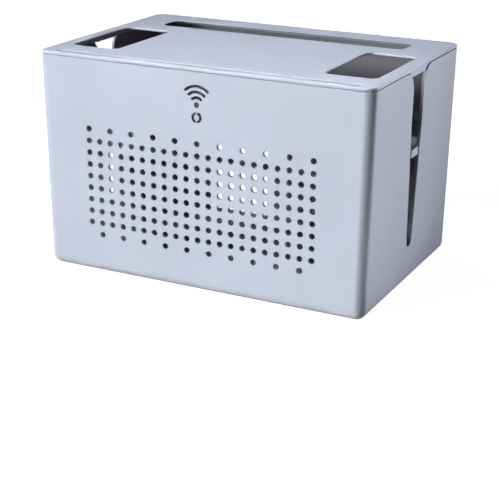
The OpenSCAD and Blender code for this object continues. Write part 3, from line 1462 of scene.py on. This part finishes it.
@dataclass
class Tub:
    """The moulded tub: four walls and a floor, with the ledges that the shelf rests on.

    Attributes:
        form: the drafted shell.
        finish: its plastic.
        ledge_top: height of the ledges' top.
        vents: the vent field.
        sign: the cut-out sign.
        slot: the cord slot in each side wall.
        windows: the windows in the back wall.
        vent_edge: radius of a vent's outer edge.
        vent_lit: depth in a vent where the darker painted inside shade is reached.
        sign_edge: radius of the sign's edges.
        slot_lit: how far the outside colour reaches into the rim and the cord slots, before the darker
            painted inside shade.
        recess: radius of the feet's recesses.
        recess_depth: their depth.
        recess_edge: radius of their mouths.
        recess_foot: radius where their walls meet their floors.
        feet: distance of the feet from the middle, sideways and front to back.
        ledge: length, depth and height of a shelf ledge.
        ledge_corner: radius of its corners.
        ledge_edge: radius of its edges.
        ledge_sunk: how far it is set into the wall.
        round_steps: stretches in the bottom rounding.
        straight_steps: level bands of a wall above the bottom rounding.
        rim_steps: stretches along the front and back walls' rims.
        edge_steps: stretches in the rounding of a rim, a window or a ledge.
        fine_steps: stretches in the rounding of the sign and the recesses.
        ring_steps: stretches round a recess.
    """

    form: TubForm
    finish: MouldedPlastic
    ledge_top: float
    vents: VentField = VentField()
    sign: SignalSign = SignalSign()
    slot: SideSlot = SideSlot()
    windows: RearWindow = RearWindow()
    vent_edge: float = 0.3 * MM
    vent_lit: float = 0.6 * MM
    sign_edge: float = 0.2 * MM
    slot_lit: float = 0.1 * MM
    recess: float = 7.2 * MM
    recess_depth: float = 0.6 * MM
    recess_edge: float = 0.3 * MM
    recess_foot: float = 0.2 * MM
    feet: tuple[float, float] = (112.0 * MM, 66.0 * MM)
    ledge: tuple[float, float, float] = (220.0 * MM, 5.0 * MM, 2.7 * MM)
    ledge_corner: float = 1.2 * MM
    ledge_edge: float = 0.5 * MM
    ledge_sunk: float = 0.6 * MM
    round_steps: int = 8
    straight_steps: int = 12
    rim_steps: int = 26
    edge_steps: int = 3
    fine_steps: int = 2
    ring_steps: int = 48

    def levels(self, share: float) -> np.ndarray:
        """Heights that the skins' triangles follow, from a skin's lowest line to its rim line.

        The bottom rounding has lines at equal angles of both skins' quarter circles. A line that
        would run through a window's rounded sill is left out.

        Args:
            share: 0 for the outer skin and 1 for the inner skin.

        Returns:
            The heights, from the lowest.
        """
        form, turns = self.form, np.linspace(0.0, QUARTER, self.round_steps + 1)
        bends = [form.bend - r * np.cos(turns) for r in (form.corner, form.corner - form.wall)]
        straight = np.linspace(form.bend, form.rim - form.edge, self.straight_steps + 1)
        heights = np.unique(np.round(np.concatenate([*bends, straight]), decimals=7))
        sill, margin = form.floor + self.windows.sill, form.edge / 10
        clear = (heights < sill - form.edge - margin) | (heights > sill + margin)
        lowest = (form.floor if share else form.base) - FLAT_LIMIT
        return heights[clear & (heights >= lowest)]

    def rim_cut(self) -> list[Station]:
        """The profile of the rim and of the cord slots' edges."""
        return through_cut(self.form.rim_edge, self.form.edge, self.edge_steps, self.slot_lit)

    def rim_edge(self, side: Side) -> Outline:
        """A wall's open top edge, with the cord slot in the side walls.

        Args:
            side: the wall.

        Returns:
            The open outline.
        """
        end = self.form.flat_end(side)
        if side in (Side.RIGHT, Side.LEFT):
            return self.slot.edge(self.form.base, self.form.rim, end)
        across = np.linspace(-end, end, self.rim_steps + 1)
        return Outline(np.column_stack([across, np.full(len(across), self.form.rim)]), closed=False)

    def openings(self, side: Side) -> list[tuple[Outline, list[Station]]]:
        """A wall's closed openings.

        Args:
            side: the wall.

        Returns:
            Each opening's outline and its edge's profile.
        """
        form = self.form
        if side is Side.FRONT:
            # A vent's wall turns to the darker painted inside shade a little way in.
            lit = Station(0.0, self.vent_lit, 0.0, QUARTER, 1.0)
            vent = [*round_over(self.vent_edge, 1), lit, Station(1.0, 0.0, 0.0, QUARTER)]
            sign = through_cut(self.sign_edge, self.sign_edge, self.fine_steps)
            groups = ((self.vents, vent), (self.sign, sign))
            return [(line, cut) for group, cut in groups for line in group.outlines(form.base)]
        if side is Side.BACK:
            cut = through_cut(form.edge, form.edge, self.edge_steps)
            return [(self.windows.outline(sign, form, self.levels(0.0)), cut) for sign in (-1, 1)]
        return []

    def wall(self, side: Side) -> list[Patch]:
        """A wall's two skins, its rim and the walls of its openings.

        Args:
            side: the wall.

        Returns:
            The patches.
        """
        form = self.form
        slab, end = TubWall(form, side), form.flat_end(side)
        rim, rim_cut = self.rim_edge(side), self.rim_cut()
        openings = self.openings(side)
        patches = [slab.cut(rim, rim_cut)] + [slab.cut(o, stations) for o, stations in openings]
        for share, station in ((0.0, 0), (1.0, -1)):
            levels = self.levels(share)
            left = np.column_stack([np.full(len(levels) - 1, -end), levels[:-1]])
            top = rim.set_back(rim_cut[station].offset)
            boundary = np.concatenate([left, top, left[::-1] * (-1.0, 1.0)])
            loops = [o.set_back(stations[station].offset) for o, stations in openings]
            bends = levels[(levels > levels[0]) & (levels <= form.bend + FLAT_LIMIT)]
            seams = [part for z in bends for part in self.seam(side, z, end)]
            patches.append(slab.skin([boundary, *loops], share, 0.0, seams))
        return patches

    def seam(self, side: Side, z: float, end: float) -> list[np.ndarray]:
        """The level line at one height of a wall's bottom rounding, broken by the windows.

        Args:
            side: the wall.
            z: the line's height.
            end: distance from the middle to the line's ends.

        Returns:
            The line's parts.
        """
        stops = [-end, end]
        if side is Side.BACK and z > self.form.floor + self.windows.sill:
            half = self.windows.width / 2 + self.form.edge
            stops += [sign * self.windows.offset + edge for sign in (-1, 1) for edge in (-half, half)]
        stops = sorted(stops)
        return [np.array([(a, z), (b, z)]) for a, b in zip(stops[::2], stops[1::2])]

    def corner(self, side: Side) -> Patch:
        """The upright corner at a wall's right end, with its part of the bottom rounding and rim.

        A level line through it has a flat bit of the wall, a quarter circle and a flat bit of the
        next wall. The quarter circle's centre is the corner radius inside both walls, and its
        radius is the skin's less what the bottom rounding takes.

        Args:
            side: the wall on the corner's left.

        Returns:
            The patch.
        """
        form, other = self.form, Side((side.value + 1) % 4)
        rim = self.rim_cut()
        outer, inner = self.levels(0.0)[:-1], self.levels(1.0)[:-1][::-1]
        z = np.concatenate([outer, [form.rim - s.offset for s in rim], inner])

        def along(key: str, last: float = 0.0) -> np.ndarray:
            """Values up the outer skin (0), over the rim (its stations') and down the inner skin."""
            return np.concatenate([0 * outer, [getattr(s, key) for s in rim], 0 * inner + last])

        share, core = along("share", 1.0), along("finish", 1.0)
        wear_and_highlight, depth, turn = along("wear_and_highlight"), along("depth"), along("turn")
        bow, sine = form.bow(z, share)
        radius = (form.corner - share * form.wall - bow - depth)[:, None]
        middle = np.column_stack([form.half(other, z), -form.half(side, z)])
        middle += (-form.corner, form.corner)
        t = np.linspace(0.0, QUARTER, 2 * self.round_steps + 1)
        t = np.concatenate([[0.0], t, [QUARTER]])
        x = middle[:, :1] + radius * np.sin(t)
        y = middle[:, 1:] - radius * np.cos(t)
        x[:, 0], y[:, -1] = form.flat_end(side), -form.flat_end(other)
        points = np.stack([x, y, np.broadcast_to(z[:, None], x.shape)], axis=-1)
        drafts = form.draft(side) * np.cos(t) ** 2 + form.draft(other) * np.sin(t) ** 2
        cosine = np.sqrt(1 - sine**2)[:, None]
        down = -sine[:, None] - cosine * drafts / (form.rim - form.bend)
        out = unit(np.stack([cosine * np.sin(t), -cosine * np.cos(t), down], axis=-1))
        out *= (1 - 2 * share)[:, None, None]
        normals = np.cos(turn)[:, None, None] * out
        normals[..., 2] += np.sin(turn)[:, None]
        return weave(turned(points, side.value), turned(normals, side.value), False, core, wear_and_highlight)

    def bottom(self) -> list[Patch]:
        """The floor's two skins, with a shallow recess for each foot.

        Returns:
            The patches.
        """
        form = self.form
        x, y = form.flat_end(Side.FRONT), form.flat_end(Side.RIGHT)
        sheet = np.array([(-x, -y), (x, -y), (x, y), (-x, y)])
        slab = Level(form.base, form.floor)
        sunk = pocket(self.recess_edge, self.recess_foot, self.recess_depth, self.fine_steps)
        places = [(i * self.feet[0], j * self.feet[1]) for i in (-1, 1) for j in (-1, 1)]
        rings = [circle(place, self.recess, self.ring_steps) for place in places]
        patches = [slab.skin([sheet, *[r.set_back(sunk[0].offset) for r in rings]])]
        patches.append(slab.skin([sheet], share=1.0))
        for ring in rings:
            patches.append(slab.cut(ring, sunk))
            patches.append(slab.skin([ring.set_back(sunk[-1].offset)], depth=self.recess_depth))
        return patches

    def build(self) -> None:
        """Makes the shell and the ledges, and dresses them."""
        skin, plastic = Skin(), self.finish.build()
        for side in Side:
            skin.add(*self.wall(side), self.corner(side))
        skin.add(*self.bottom())
        shell = skin.build("tub_shell")
        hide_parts("box_body")
        dress(shell, plastic, "tub")
        for name, side in (("shelf_ledge_front", Side.FRONT), ("shelf_ledge_back", Side.BACK)):
            dress(self.shelf_ledge(name, side), plastic, "tub")

    def shelf_ledge(self, name: str, side: Side) -> bpy.types.Object:
        """One rounded rib along the front or back wall.

        Args:
            name: the piece's name.
            side: the wall.

        Returns:
            The piece.
        """
        form, (length, depth, height) = self.form, self.ledge
        face = float(form.half(side, np.array(self.ledge_top))) - form.wall
        sign = 1 if side is Side.BACK else -1
        middle = sign * (face + (self.ledge_sunk - depth) / 2)
        slab = Level(self.ledge_top, self.ledge_top - height)
        size = (length, depth + self.ledge_sunk)
        outline = rounded_rectangle(size, self.ledge_corner, (0.0, middle), 2 * self.edge_steps)
        edge = through_cut(self.ledge_edge, self.ledge_edge, self.edge_steps)
        return Skin(closed_plate(slab, outline, edge)).build(name)


# --- the lid -----------------------------------------------------------------------------------------


@dataclass
class Lid:
    """The lift-off lid: a plate with three openings and a phone groove, a lip and two slot tabs.

    Attributes:
        finish: its plastic.
        half_width: half of the plate's width.
        half_depth: half of its depth.
        top: height of its top.
        seam: height where it rests on the tub's rim.
        wall: thickness of the tub's wall, which the lip stays clear of.
        corner: radius of the plate's corners.
        thickness: thickness of the plate inside its thicker border.
        gap: clearance between the lip and the tub's wall.
        edge: radius of the plate's upper outer edge.
        lower_edge: radius of its lower outer edge.
        fine_edge: radius of the openings' upper edges and of the lip's and the channel's edges.
        rebate: height and depth of the step under the plate's edge.
        lip_height: how far the lip hangs down.
        lip: thickness of the lip.
        hatch: width and depth of a hand opening.
        hatch_place: place of its middle, sideways and front to back.
        hatch_corner: radius of its corners.
        hatch_under: radius of its lower edge.
        hatch_lit: how far the outside colour reaches into it, before the darker painted inside shade.
        slot: width and depth of the rear slot.
        slot_y: place of its middle, front to back.
        slot_corner: radius of its corners.
        slot_back: how far its edge slopes back under the plate.
        groove: length and width of the phone groove.
        groove_corner: radius of its ends, which leaves them a short flat.
        groove_depth: its depth.
        groove_inset: distance from the plate's front to the groove.
        groove_edge: radius of its mouth.
        groove_foot: radius where its wall meets its floor.
        groove_shade: share of the darker painted inside shade on its walls, for the shade in it.
        groove_skin: thickness of the channel around it.
        channel_corner: radius of the channel's corners.
        tuck: how far hidden ends reach into what hides them.
        tab_front: half of a slot tab's width towards the front, at its bottom and its top.
        tab_back: the same towards the back.
        tab_height: how far a tab hangs down.
        tab_inset: how far a tab's face lies behind the plate's edge.
        tab_edge: radius of a tab's edges.
        tab_lit: how far the outside colour reaches round a tab, before the darker painted inside
            shade.
        corner_steps: stretches in a corner of the plate.
        lip_steps: stretches in a corner of the lip's inner edge.
        edge_steps: stretches in the roundings that show, and in the channel's corners.
        fine_steps: stretches in the roundings of the lip, the channel and the tabs.
    """

    finish: MouldedPlastic
    half_width: float
    half_depth: float
    top: float
    seam: float
    wall: float
    corner: float
    thickness: float = 2.0 * MM
    gap: float = 0.4 * MM
    edge: float = 1.2 * MM
    lower_edge: float = 0.25 * MM
    fine_edge: float = 0.4 * MM
    rebate: tuple[float, float] = (0.7 * MM, 1.6 * MM)
    lip_height: float = 3.0 * MM
    lip: float = 1.6 * MM
    hatch: tuple[float, float] = (41.6 * MM, 86.4 * MM)
    hatch_place: tuple[float, float] = (108.6 * MM, -19.9 * MM)
    hatch_corner: float = 6.5 * MM
    hatch_under: float = 0.7 * MM
    hatch_lit: float = 0.75 * MM
    slot: tuple[float, float] = (218.0 * MM, 25.0 * MM)
    slot_y: float = 57.2 * MM
    slot_corner: float = 6.0 * MM
    slot_back: float = 4.0 * MM
    groove: tuple[float, float] = (255.0 * MM, 5.4 * MM)
    groove_corner: float = 2.65 * MM
    groove_depth: float = 6.0 * MM
    groove_inset: float = 4.4 * MM
    groove_edge: float = 0.7 * MM
    groove_foot: float = 0.6 * MM
    groove_shade: float = 0.8
    groove_skin: float = 1.6 * MM
    channel_corner: float = 1.0 * MM
    tuck: float = 0.6 * MM
    tab_front: tuple[float, float] = (15.4 * MM, 21.0 * MM)
    tab_back: tuple[float, float] = (12.3 * MM, 22.5 * MM)
    tab_height: float = 4.3 * MM
    tab_inset: float = 1.0 * MM
    tab_edge: float = 0.3 * MM
    tab_lit: float = 1.0 * MM
    corner_steps: int = 16
    lip_steps: int = 6
    edge_steps: int = 4
    fine_steps: int = 2

    @property
    def groove_y(self) -> float:
        """Place of the groove's middle, front to back."""
        return -self.half_depth + self.groove_inset + self.groove[1] / 2

    def lip_outlines(self) -> tuple[Outline, Outline]:
        """The lip's outer and inner edges.

        The inner edge steps back behind the groove's channel, so that the channel and the lip's
        front are one.

        Returns:
            The outer edge and the inner edge, both with the opening on their left.
        """
        x = self.half_width - self.wall - self.gap
        y = self.half_depth - self.wall - self.gap
        r = self.corner - self.wall - self.gap
        outer = rounded_rectangle((2 * x, 2 * y), r).turned_over()
        x, y, r = x - self.lip, y - self.lip, r - self.lip
        side = self.groove[0] / 2 + self.groove_skin
        back = self.groove_y + self.groove[1] / 2 + self.groove_skin
        inner = np.concatenate(
            [
                arc((x - r, y - r), r, 0.0, QUARTER, self.lip_steps),
                arc((r - x, y - r), r, QUARTER, math.pi, self.lip_steps),
                arc((r - x, r - y), r, math.pi, 1.5 * math.pi, self.lip_steps),
                [(-side, -y), (-side, back), (side, back), (side, -y)],
                arc((x - r, r - y), r, 1.5 * math.pi, 2 * math.pi, self.lip_steps),
            ]
        )
        return outer, Outline(inner)

    def plate(self) -> list[Patch]:
        """The plate with its openings, its groove and what hangs under it, as one closed skin.

        Returns:
            The patches.
        """
        slab, flange = Level(self.top, self.top - self.thickness), Level(self.top, self.seam)
        size, steps = (2 * self.half_width, 2 * self.half_depth), self.edge_steps
        outline = rounded_rectangle(size, self.corner, steps=self.corner_steps).turned_over()
        edge = shadow_edge(self.edge, self.lower_edge, self.rebate, steps)
        hatch_cut = through_cut(self.fine_edge, self.hatch_under, steps, self.hatch_lit)
        slot_cut = undercut(self.fine_edge, self.thickness, self.slot_back, steps)
        x, y = self.hatch_place
        hatches = [rounded_rectangle(self.hatch, self.hatch_corner, (sign * x, y)) for sign in (-1, 1)]
        slot = rounded_rectangle(self.slot, self.slot_corner, (0.0, self.slot_y))
        holes = [*((hatch, hatch_cut) for hatch in hatches), (slot, slot_cut)]
        groove = rounded_rectangle(self.groove, self.groove_corner, (0.0, self.groove_y))
        # The groove's walls are painted darker for the shade in it.
        sunk = pocket(self.groove_edge, self.groove_foot, self.groove_depth, steps, self.groove_shade)
        lip_outer, lip_inner = self.lip_outlines()
        mouths = [(outline, edge), (groove, sunk), *holes]
        above = [line.set_back(rows[0].offset) for line, rows in mouths]
        below = [line.set_back(rows[-1].offset) for line, rows in holes] + [lip_inner.points]
        patches = [slab.skin(above), slab.skin(below, share=1.0), flange.cut(outline, edge)]
        patches.append(flange.skin([outline.set_back(edge[-1].offset), lip_outer.points], share=1.0))
        patches += [slab.cut(line, rows) for line, rows in (*holes, (groove, sunk))]
        patches.append(slab.skin([groove.set_back(sunk[-1].offset)], depth=self.groove_depth))
        return patches + self.lip_and_channel(lip_outer, lip_inner)

    def lip_and_channel(self, outer: Outline, inner: Outline) -> list[Patch]:
        """The locating lip and the channel under the groove, down from the plate's underside.

        Args:
            outer: the lip's outer edge.
            inner: its inner edge.

        Returns:
            The patches.
        """
        tip = self.seam - self.lip_height
        low = self.top - self.groove_depth - self.groove_skin
        lip, channel = Level(tip, self.seam), Level(low, tip)
        drop = round_over(self.fine_edge, self.fine_steps) + [Station(1.0, 0.0, 0.0, QUARTER)]
        front = -(self.half_depth - self.wall - self.gap) + self.tuck
        back = self.groove_y + self.groove[1] / 2 + self.groove_skin - self.tuck
        size, middle = (self.groove[0] + self.groove_skin, back - front), (0.0, (front + back) / 2)
        foot = rounded_rectangle(size, self.channel_corner, middle, self.edge_steps).turned_over()
        loops = [o.set_back(self.fine_edge) for o in (outer, inner)] + [foot.points]
        return [
            lip.cut(outer, drop),
            Level(tip, self.top - self.thickness).cut(inner, drop),
            lip.skin(loops),
            channel.cut(foot, drop),
            channel.skin([foot.set_back(self.fine_edge)]),
        ]

    def slot_tab(self, name: str, side: Side) -> bpy.types.Object:
        """The tab that closes the top of a side slot, level with the tub's wall.

        Args:
            name: the piece's name.
            side: the wall that it hangs in.

        Returns:
            The piece.
        """
        face = self.half_width - self.tab_inset
        slab = Upright(side.value, face, self.half_width - self.wall - self.gap - self.lip / 2)
        low, high = self.seam - self.tab_height, self.seam + self.tuck
        left, right = self.tab_front, self.tab_back
        if side is Side.LEFT:
            left, right = right, left
        corners = [(-left[0], low), (right[0], low), (right[1], high), (-left[1], high)]
        edge = through_cut(self.tab_edge, self.tab_edge, self.fine_steps, self.tab_lit)
        return Skin(closed_plate(slab, Outline(np.array(corners)), edge)).build(name)

    def build(self) -> None:
        """Makes the lid and dresses it."""
        plastic = self.finish.build()
        plate = Skin(self.plate()).build("lid_plate")
        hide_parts("lid")
        dress(plate, plastic, "lid")
        for name, side in (("lid_slot_tab_left", Side.LEFT), ("lid_slot_tab_right", Side.RIGHT)):
            dress(self.slot_tab(name, side), plastic, "lid")


# --- the shelf and the feet --------------------------------------------------------------------------


@dataclass
class Shelf:
    """The loose shelf: a plate with a large opening, and a tab that stands in each side slot.

    Attributes:
        finish: its plastic.
        half_width: half of the plate's width.
        half_depth: half of its depth.
        bottom: height of its underside.
        tab_face: distance of a tab's face from the middle.
        clearance: gap between its ends and the tub's side walls.
        thickness: thickness of the plate.
        corner: radius of its corners.
        edge: radius of its edges.
        opening: width and depth of its opening.
        opening_corner: radius of the opening's corners.
        front_strip: distance from the plate's front to the opening.
        tab_half: half of a tab's width.
        tab_low: how far a tab reaches below the plate.
        tab_height: height of a tab.
        tab_root: how far a tab reaches in over the plate.
        tab_corner: radius of a tab's corners.
        tab_edge: radius of its edges.
        tab_lit: how far the outside colour reaches round it, before the darker painted inside shade.
        edge_steps: stretches in a rounded edge.
        corner_steps: stretches in a tab's corner.
    """

    finish: MouldedPlastic
    half_width: float
    half_depth: float
    bottom: float
    tab_face: float
    clearance: float = 0.4 * MM
    thickness: float = 2.5 * MM
    corner: float = 5.6 * MM
    edge: float = 0.5 * MM
    opening: tuple[float, float] = (130.0 * MM, 114.0 * MM)
    opening_corner: float = 10.0 * MM
    front_strip: float = 14.6 * MM
    tab_half: float = 7.3 * MM
    tab_low: float = 0.5 * MM
    tab_height: float = 6.3 * MM
    tab_root: float = 2.4 * MM
    tab_corner: float = 0.8 * MM
    tab_edge: float = 0.4 * MM
    tab_lit: float = 2.0 * MM
    edge_steps: int = 3
    corner_steps: int = 5

    def build(self) -> None:
        """Makes the shelf and its tabs, and dresses them."""
        plastic = self.finish.build()
        edge = through_cut(self.edge, self.edge, self.edge_steps)
        slab = Level(self.bottom + self.thickness, self.bottom)
        outline = rounded_rectangle((2 * self.half_width, 2 * self.half_depth), self.corner)
        middle = -self.half_depth + self.front_strip + self.opening[1] / 2
        hole = rounded_rectangle(self.opening, self.opening_corner, (0.0, middle))
        # The whole plate has the darker painted inside shade, for the shade inside the box.
        plate = Skin(inside(closed_plate(slab, outline, edge, [(hole, edge)]))).build("shelf_plate")
        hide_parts("inner_shelf")
        dress(plate, plastic, "shelf")
        for name, side in (("shelf_tab_left", Side.LEFT), ("shelf_tab_right", Side.RIGHT)):
            dress(self.tab(name, side), plastic, "shelf")

    def tab(self, name: str, side: Side) -> bpy.types.Object:
        """One tab, which runs from the plate out to the tub's outer face.

        Args:
            name: the piece's name.
            side: the wall whose slot it stands in.

        Returns:
            The piece.
        """
        slab = Upright(side.value, self.tab_face, self.half_width - self.tab_root)
        size = (2 * self.tab_half, self.tab_height)
        middle = (0.0, self.bottom - self.tab_low + self.tab_height / 2)
        outline = rounded_rectangle(size, self.tab_corner, middle, self.corner_steps)
        edge = through_cut(self.tab_edge, self.tab_edge, self.edge_steps, self.tab_lit)
        return Skin(closed_plate(slab, outline, edge)).build(name)


@dataclass
class Feet:
    """Four stick-on feet, each a turned pad with a rounded edge and a ring groove underneath.

    Attributes:
        finish: their rubber.
        radius: radius of a foot.
        edge: radius of its upper and lower edge.
        ring: radius of the groove's middle line.
        ring_half: half of the groove's width.
        ring_depth: its depth.
        ring_steps: stretches across the groove.
        edge_steps: stretches in a rounded edge.
        steps: stretches round a foot.
    """

    finish: SoftRubber
    radius: float = 7.0 * MM
    edge: float = 0.45 * MM
    ring: float = 4.2 * MM
    ring_half: float = 0.6 * MM
    ring_depth: float = 0.35 * MM
    ring_steps: int = 8
    edge_steps: int = 5
    steps: int = 48

    def profile(self, height: float) -> tuple[np.ndarray, np.ndarray]:
        """A foot's half section, from the middle of its sole round to the middle of its top.

        The groove rises by its depth times the squared cosine of the way across it.

        Args:
            height: the foot's height.

        Returns:
            Radius and height of each point, and the section's outward normals.
        """
        across = np.linspace(-1.0, 1.0, self.ring_steps + 1)
        rise = self.ring_depth * np.cos(across * QUARTER) ** 2
        groove = np.column_stack([self.ring + self.ring_half * across, rise])
        middle, steps = self.radius - self.edge, self.edge_steps
        lower = arc((middle, self.edge), self.edge, -QUARTER, 0.0, steps)
        upper = arc((middle, height - self.edge), self.edge, 0.0, QUARTER, steps)
        line = np.concatenate([[(0.0, 0.0)], groove, lower, upper, [(0.0, height)]])
        return line, right_of(line)

    def build(self) -> None:
        """Makes the four feet where the frame has them."""
        rubber = self.finish.build()
        for node in ("foot_front_left", "foot_front_right", "foot_back_left", "foot_back_right"):
            low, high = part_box(node)
            line, out = self.profile(high.z)
            piece = Skin([revolve(line, out, (low + high) / 2, self.steps)]).build(node + "_pad")
            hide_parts(node)
            dress(piece, rubber, "tub")


# --- the studio --------------------------------------------------------------------------------------


@dataclass(frozen=True)
class Softbox:
    """A square area light, with a grid over it where its beam has to be narrow.

    Attributes:
        name: the light's name.
        azimuth: direction that it stands in, in degrees from -Y towards +X.
        elevation: its height above the horizon, in degrees.
        distance: its distance from the aim.
        size: its width, which is also its height.
        power: its power in watts.
        spread: full angle of its beam, in degrees.
        aim: the point that it faces.
        colour: its linear colour.
    """

    name: str
    azimuth: float
    elevation: float
    distance: float
    size: float
    power: float
    spread: float = 180.0
    aim: tuple[float, float, float] = (0.0, 0.0, 0.09)
    colour: tuple[float, float, float] = (1.0, 1.0, 1.0)

    def build(self) -> None:
        """Adds the light."""
        lamp = bpy.data.lights.new(self.name, "AREA")
        lamp.shape = "SQUARE"
        lamp.size = self.size
        lamp.energy = self.power
        lamp.spread = math.radians(self.spread)
        lamp.color = self.colour
        made = bpy.data.objects.new(self.name, lamp)
        a, e = math.radians(self.azimuth), math.radians(self.elevation)
        away = Vector((math.sin(a) * math.cos(e), -math.cos(a) * math.cos(e), math.sin(e)))
        made.location = Vector(self.aim) + away * self.distance
        made.rotation_mode = "QUATERNION"
        made.rotation_quaternion = (-away).to_track_quat("-Z", "Y")
        bpy.context.scene.collection.objects.link(made)


@dataclass
class Studio:
    """The white sweep, the lights and the camera.

    Attributes:
        eye: the camera's place.
        aim: the point that it looks at.
        roll: its roll in degrees, which raises its right side.
        lens: its focal length in millimetres.
        sensor: the width of its sensor in millimetres.
        floor_reach: distance from the middle to the sweep's upright part.
        cove: radius of the curve between its level and its upright part.
        backdrop_top: height of its upper edge.
        floor_steps: stretches along a radius of its level part.
        cove_steps: stretches in the curve.
        round_steps: stretches in a whole turn.
        floor_finish: its paper.
        sky: light from above the horizon.
        bounce: light from below the horizon.
        horizon: height on the unit sphere over which one gives way to the other, up and down.
        lights: the softboxes.
    """

    eye: tuple[float, float, float] = (0.45494, -0.91603, 0.38136)
    aim: tuple[float, float, float] = (-0.00105, 0.0, 0.00502)
    roll: float = 0.504
    lens: float = 93.79
    sensor: float = 36.0
    floor_reach: float = 8.0
    cove: float = 3.0
    backdrop_top: float = 8.0
    floor_steps: int = 8
    cove_steps: int = 12
    round_steps: int = 64
    floor_finish: PaperSweep = PaperSweep("paper_sweep", (0.3, 0.3, 0.3), glow=0.95)
    sky: float = 0.004
    bounce: float = 0.012
    horizon: float = 0.02
    lights: tuple[Softbox, ...] = (
        # The main light, from the front left.
        Softbox("key_softbox", azimuth=-50.0, elevation=26.0, distance=3.5, size=1.0, power=113.5),
        # A narrow beam that evens out the right part of the front wall.
        Softbox(
            "front_softbox",
            azimuth=-28.0,
            elevation=12.0,
            distance=3.0,
            size=0.5,
            power=1.7,
            spread=30.0,
            aim=(0.1, -0.09, 0.12),
        ),
        # A narrow beam from behind on the right, which grazes the right wall.
        Softbox(
            "side_softbox",
            azimuth=145.0,
            elevation=1.0,
            distance=2.5,
            size=0.6,
            power=1.0,
            spread=13.0,
            aim=(0.14, -0.31, 0.2),
            colour=(0.95, 0.96, 1.04),
        ),
        # Light from behind and above on the left, for the lid's sheen.
        Softbox("top_softbox", azimuth=-150.0, elevation=48.0, distance=2.5, size=1.0, power=3.2),
        # A narrow beam over the right part of the lid's front.
        Softbox(
            "lid_softbox",
            azimuth=-130.0,
            elevation=55.0,
            distance=2.5,
            size=0.5,
            power=0.79,
            spread=16.0,
            aim=(0.12, -0.2, 0.177),
        ),
        # Light from below the front wall, like what a white floor sends back.
        Softbox(
            "bounce_card",
            azimuth=-30.0,
            elevation=-68.0,
            distance=0.7,
            size=0.5,
            power=1.9,
            aim=(0.0, -0.093, 0.01),
        ),
        # A small panel in the floor beside the right wall, which faces straight up.
        Softbox(
            "floor_panel",
            azimuth=0.0,
            elevation=-90.0,
            distance=1.01,
            size=0.15,
            power=0.144,
            aim=(0.28, -0.05, 1.0),
        ),
    )

    def build(self) -> None:
        """Adds the floor, the world, the lights and the camera."""
        self.floor()
        self.backdrop()
        for light in self.lights:
            light.build()
        self.camera()
        bpy.context.scene.view_settings.view_transform = "Standard"

    def floor(self) -> None:
        """The floor: a level disc under the feet, which curves up into a round wall far away."""
        start = self.floor_reach - self.cove
        flat = np.linspace(0.0, start, self.floor_steps + 1)[:-1]
        curve = arc((start, self.cove), self.cove, -QUARTER, 0.0, self.cove_steps)
        level = np.column_stack([flat, 0 * flat])
        line = np.concatenate([level, curve, [(self.floor_reach, self.backdrop_top)]])
        sweep = revolve(line, -right_of(line), (0.0, 0.0), self.round_steps)
        made = Skin([sweep]).build("floor_sweep")
        made.data.materials.append(self.floor_finish.build())
        made.visible_diffuse = False
        made.visible_glossy = False
        made.visible_shadow = False

    def backdrop(self) -> None:
        """An even surround, dim from above and with the sweep's reflected light from below."""
        world = bpy.data.worlds.new("studio")
        world.use_nodes = True
        mix = Mixture(world.node_tree)
        mix.tree.nodes.clear()
        way = mix.add("ShaderNodeTexCoord").outputs["Generated"]
        up = mix.add("ShaderNodeSeparateXYZ", Vector=way).outputs["Z"]
        ends = {"From_Min": -self.horizon, "From_Max": self.horizon}
        levels = {"To_Min": self.bounce, "To_Max": self.sky}
        level = mix.add("ShaderNodeMapRange", Value=up, **ends, **levels).outputs["Result"]
        glow = mix.add("ShaderNodeBackground", Color=(1.0, 1.0, 1.0, 1.0), Strength=level)
        mix.add("ShaderNodeOutputWorld", Surface=glow.outputs["Background"])
        bpy.context.scene.world = world

    def camera(self) -> None:
        """The camera: it looks from the eye to the aim, rolled about that line."""
        data = bpy.data.cameras.new("camera")
        data.lens = self.lens
        data.sensor_width = self.sensor
        made = bpy.data.objects.new("camera", data)
        eye, aim = Vector(self.eye), Vector(self.aim)
        look = (aim - eye).normalized()
        made.location = eye
        made.rotation_mode = "QUATERNION"
        roll = Quaternion(look, -math.radians(self.roll))
        made.rotation_quaternion = roll @ look.to_track_quat("-Z", "Y")
        bpy.context.scene.collection.objects.link(made)
        bpy.context.scene.camera = made


# --- everything together -----------------------------------------------------------------------------


# The darker colour painted inside the mouldings for their shade, and the finish of each piece.
INNER_SHADE_COLOUR = (0.295, 0.285, 0.325)
BODY = MouldedPlastic("body_satin_plastic", (0.50, 0.535, 0.64), INNER_SHADE_COLOUR)
LID = MouldedPlastic("lid_satin_plastic", (0.505, 0.54, 0.67), INNER_SHADE_COLOUR, seed=3.1)
SHELF = MouldedPlastic("shelf_satin_plastic", (0.53, 0.555, 0.645), INNER_SHADE_COLOUR, seed=7.7)
RUBBER = SoftRubber("foot_rubber_grey")


def main() -> None:
    """Builds the box around the frame, and the studio around the box."""
    logging.basicConfig(level=logging.INFO, format="%(name)s: %(message)s")
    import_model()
    body_low, body_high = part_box("box_body")
    lid_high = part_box("lid")[1]
    shelf_low, shelf_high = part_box("inner_shelf")
    form = TubForm(body_high.x, body_high.y, body_low.z, body_high.z)
    shelf = Shelf(
        SHELF,
        half_width=float(form.half(Side.RIGHT, np.array(shelf_low.z))) - form.wall - Shelf.clearance,
        half_depth=shelf_high.y,
        bottom=shelf_low.z + Shelf.tab_low,
        tab_face=shelf_high.x,
    )
    Tub(form, BODY, ledge_top=shelf.bottom).build()
    Lid(LID, lid_high.x, lid_high.y, lid_high.z, form.rim, form.wall, form.corner).build()
    shelf.build()
    Feet(RUBBER).build()
    Studio().build()


if __name__ == "__main__":
    main()
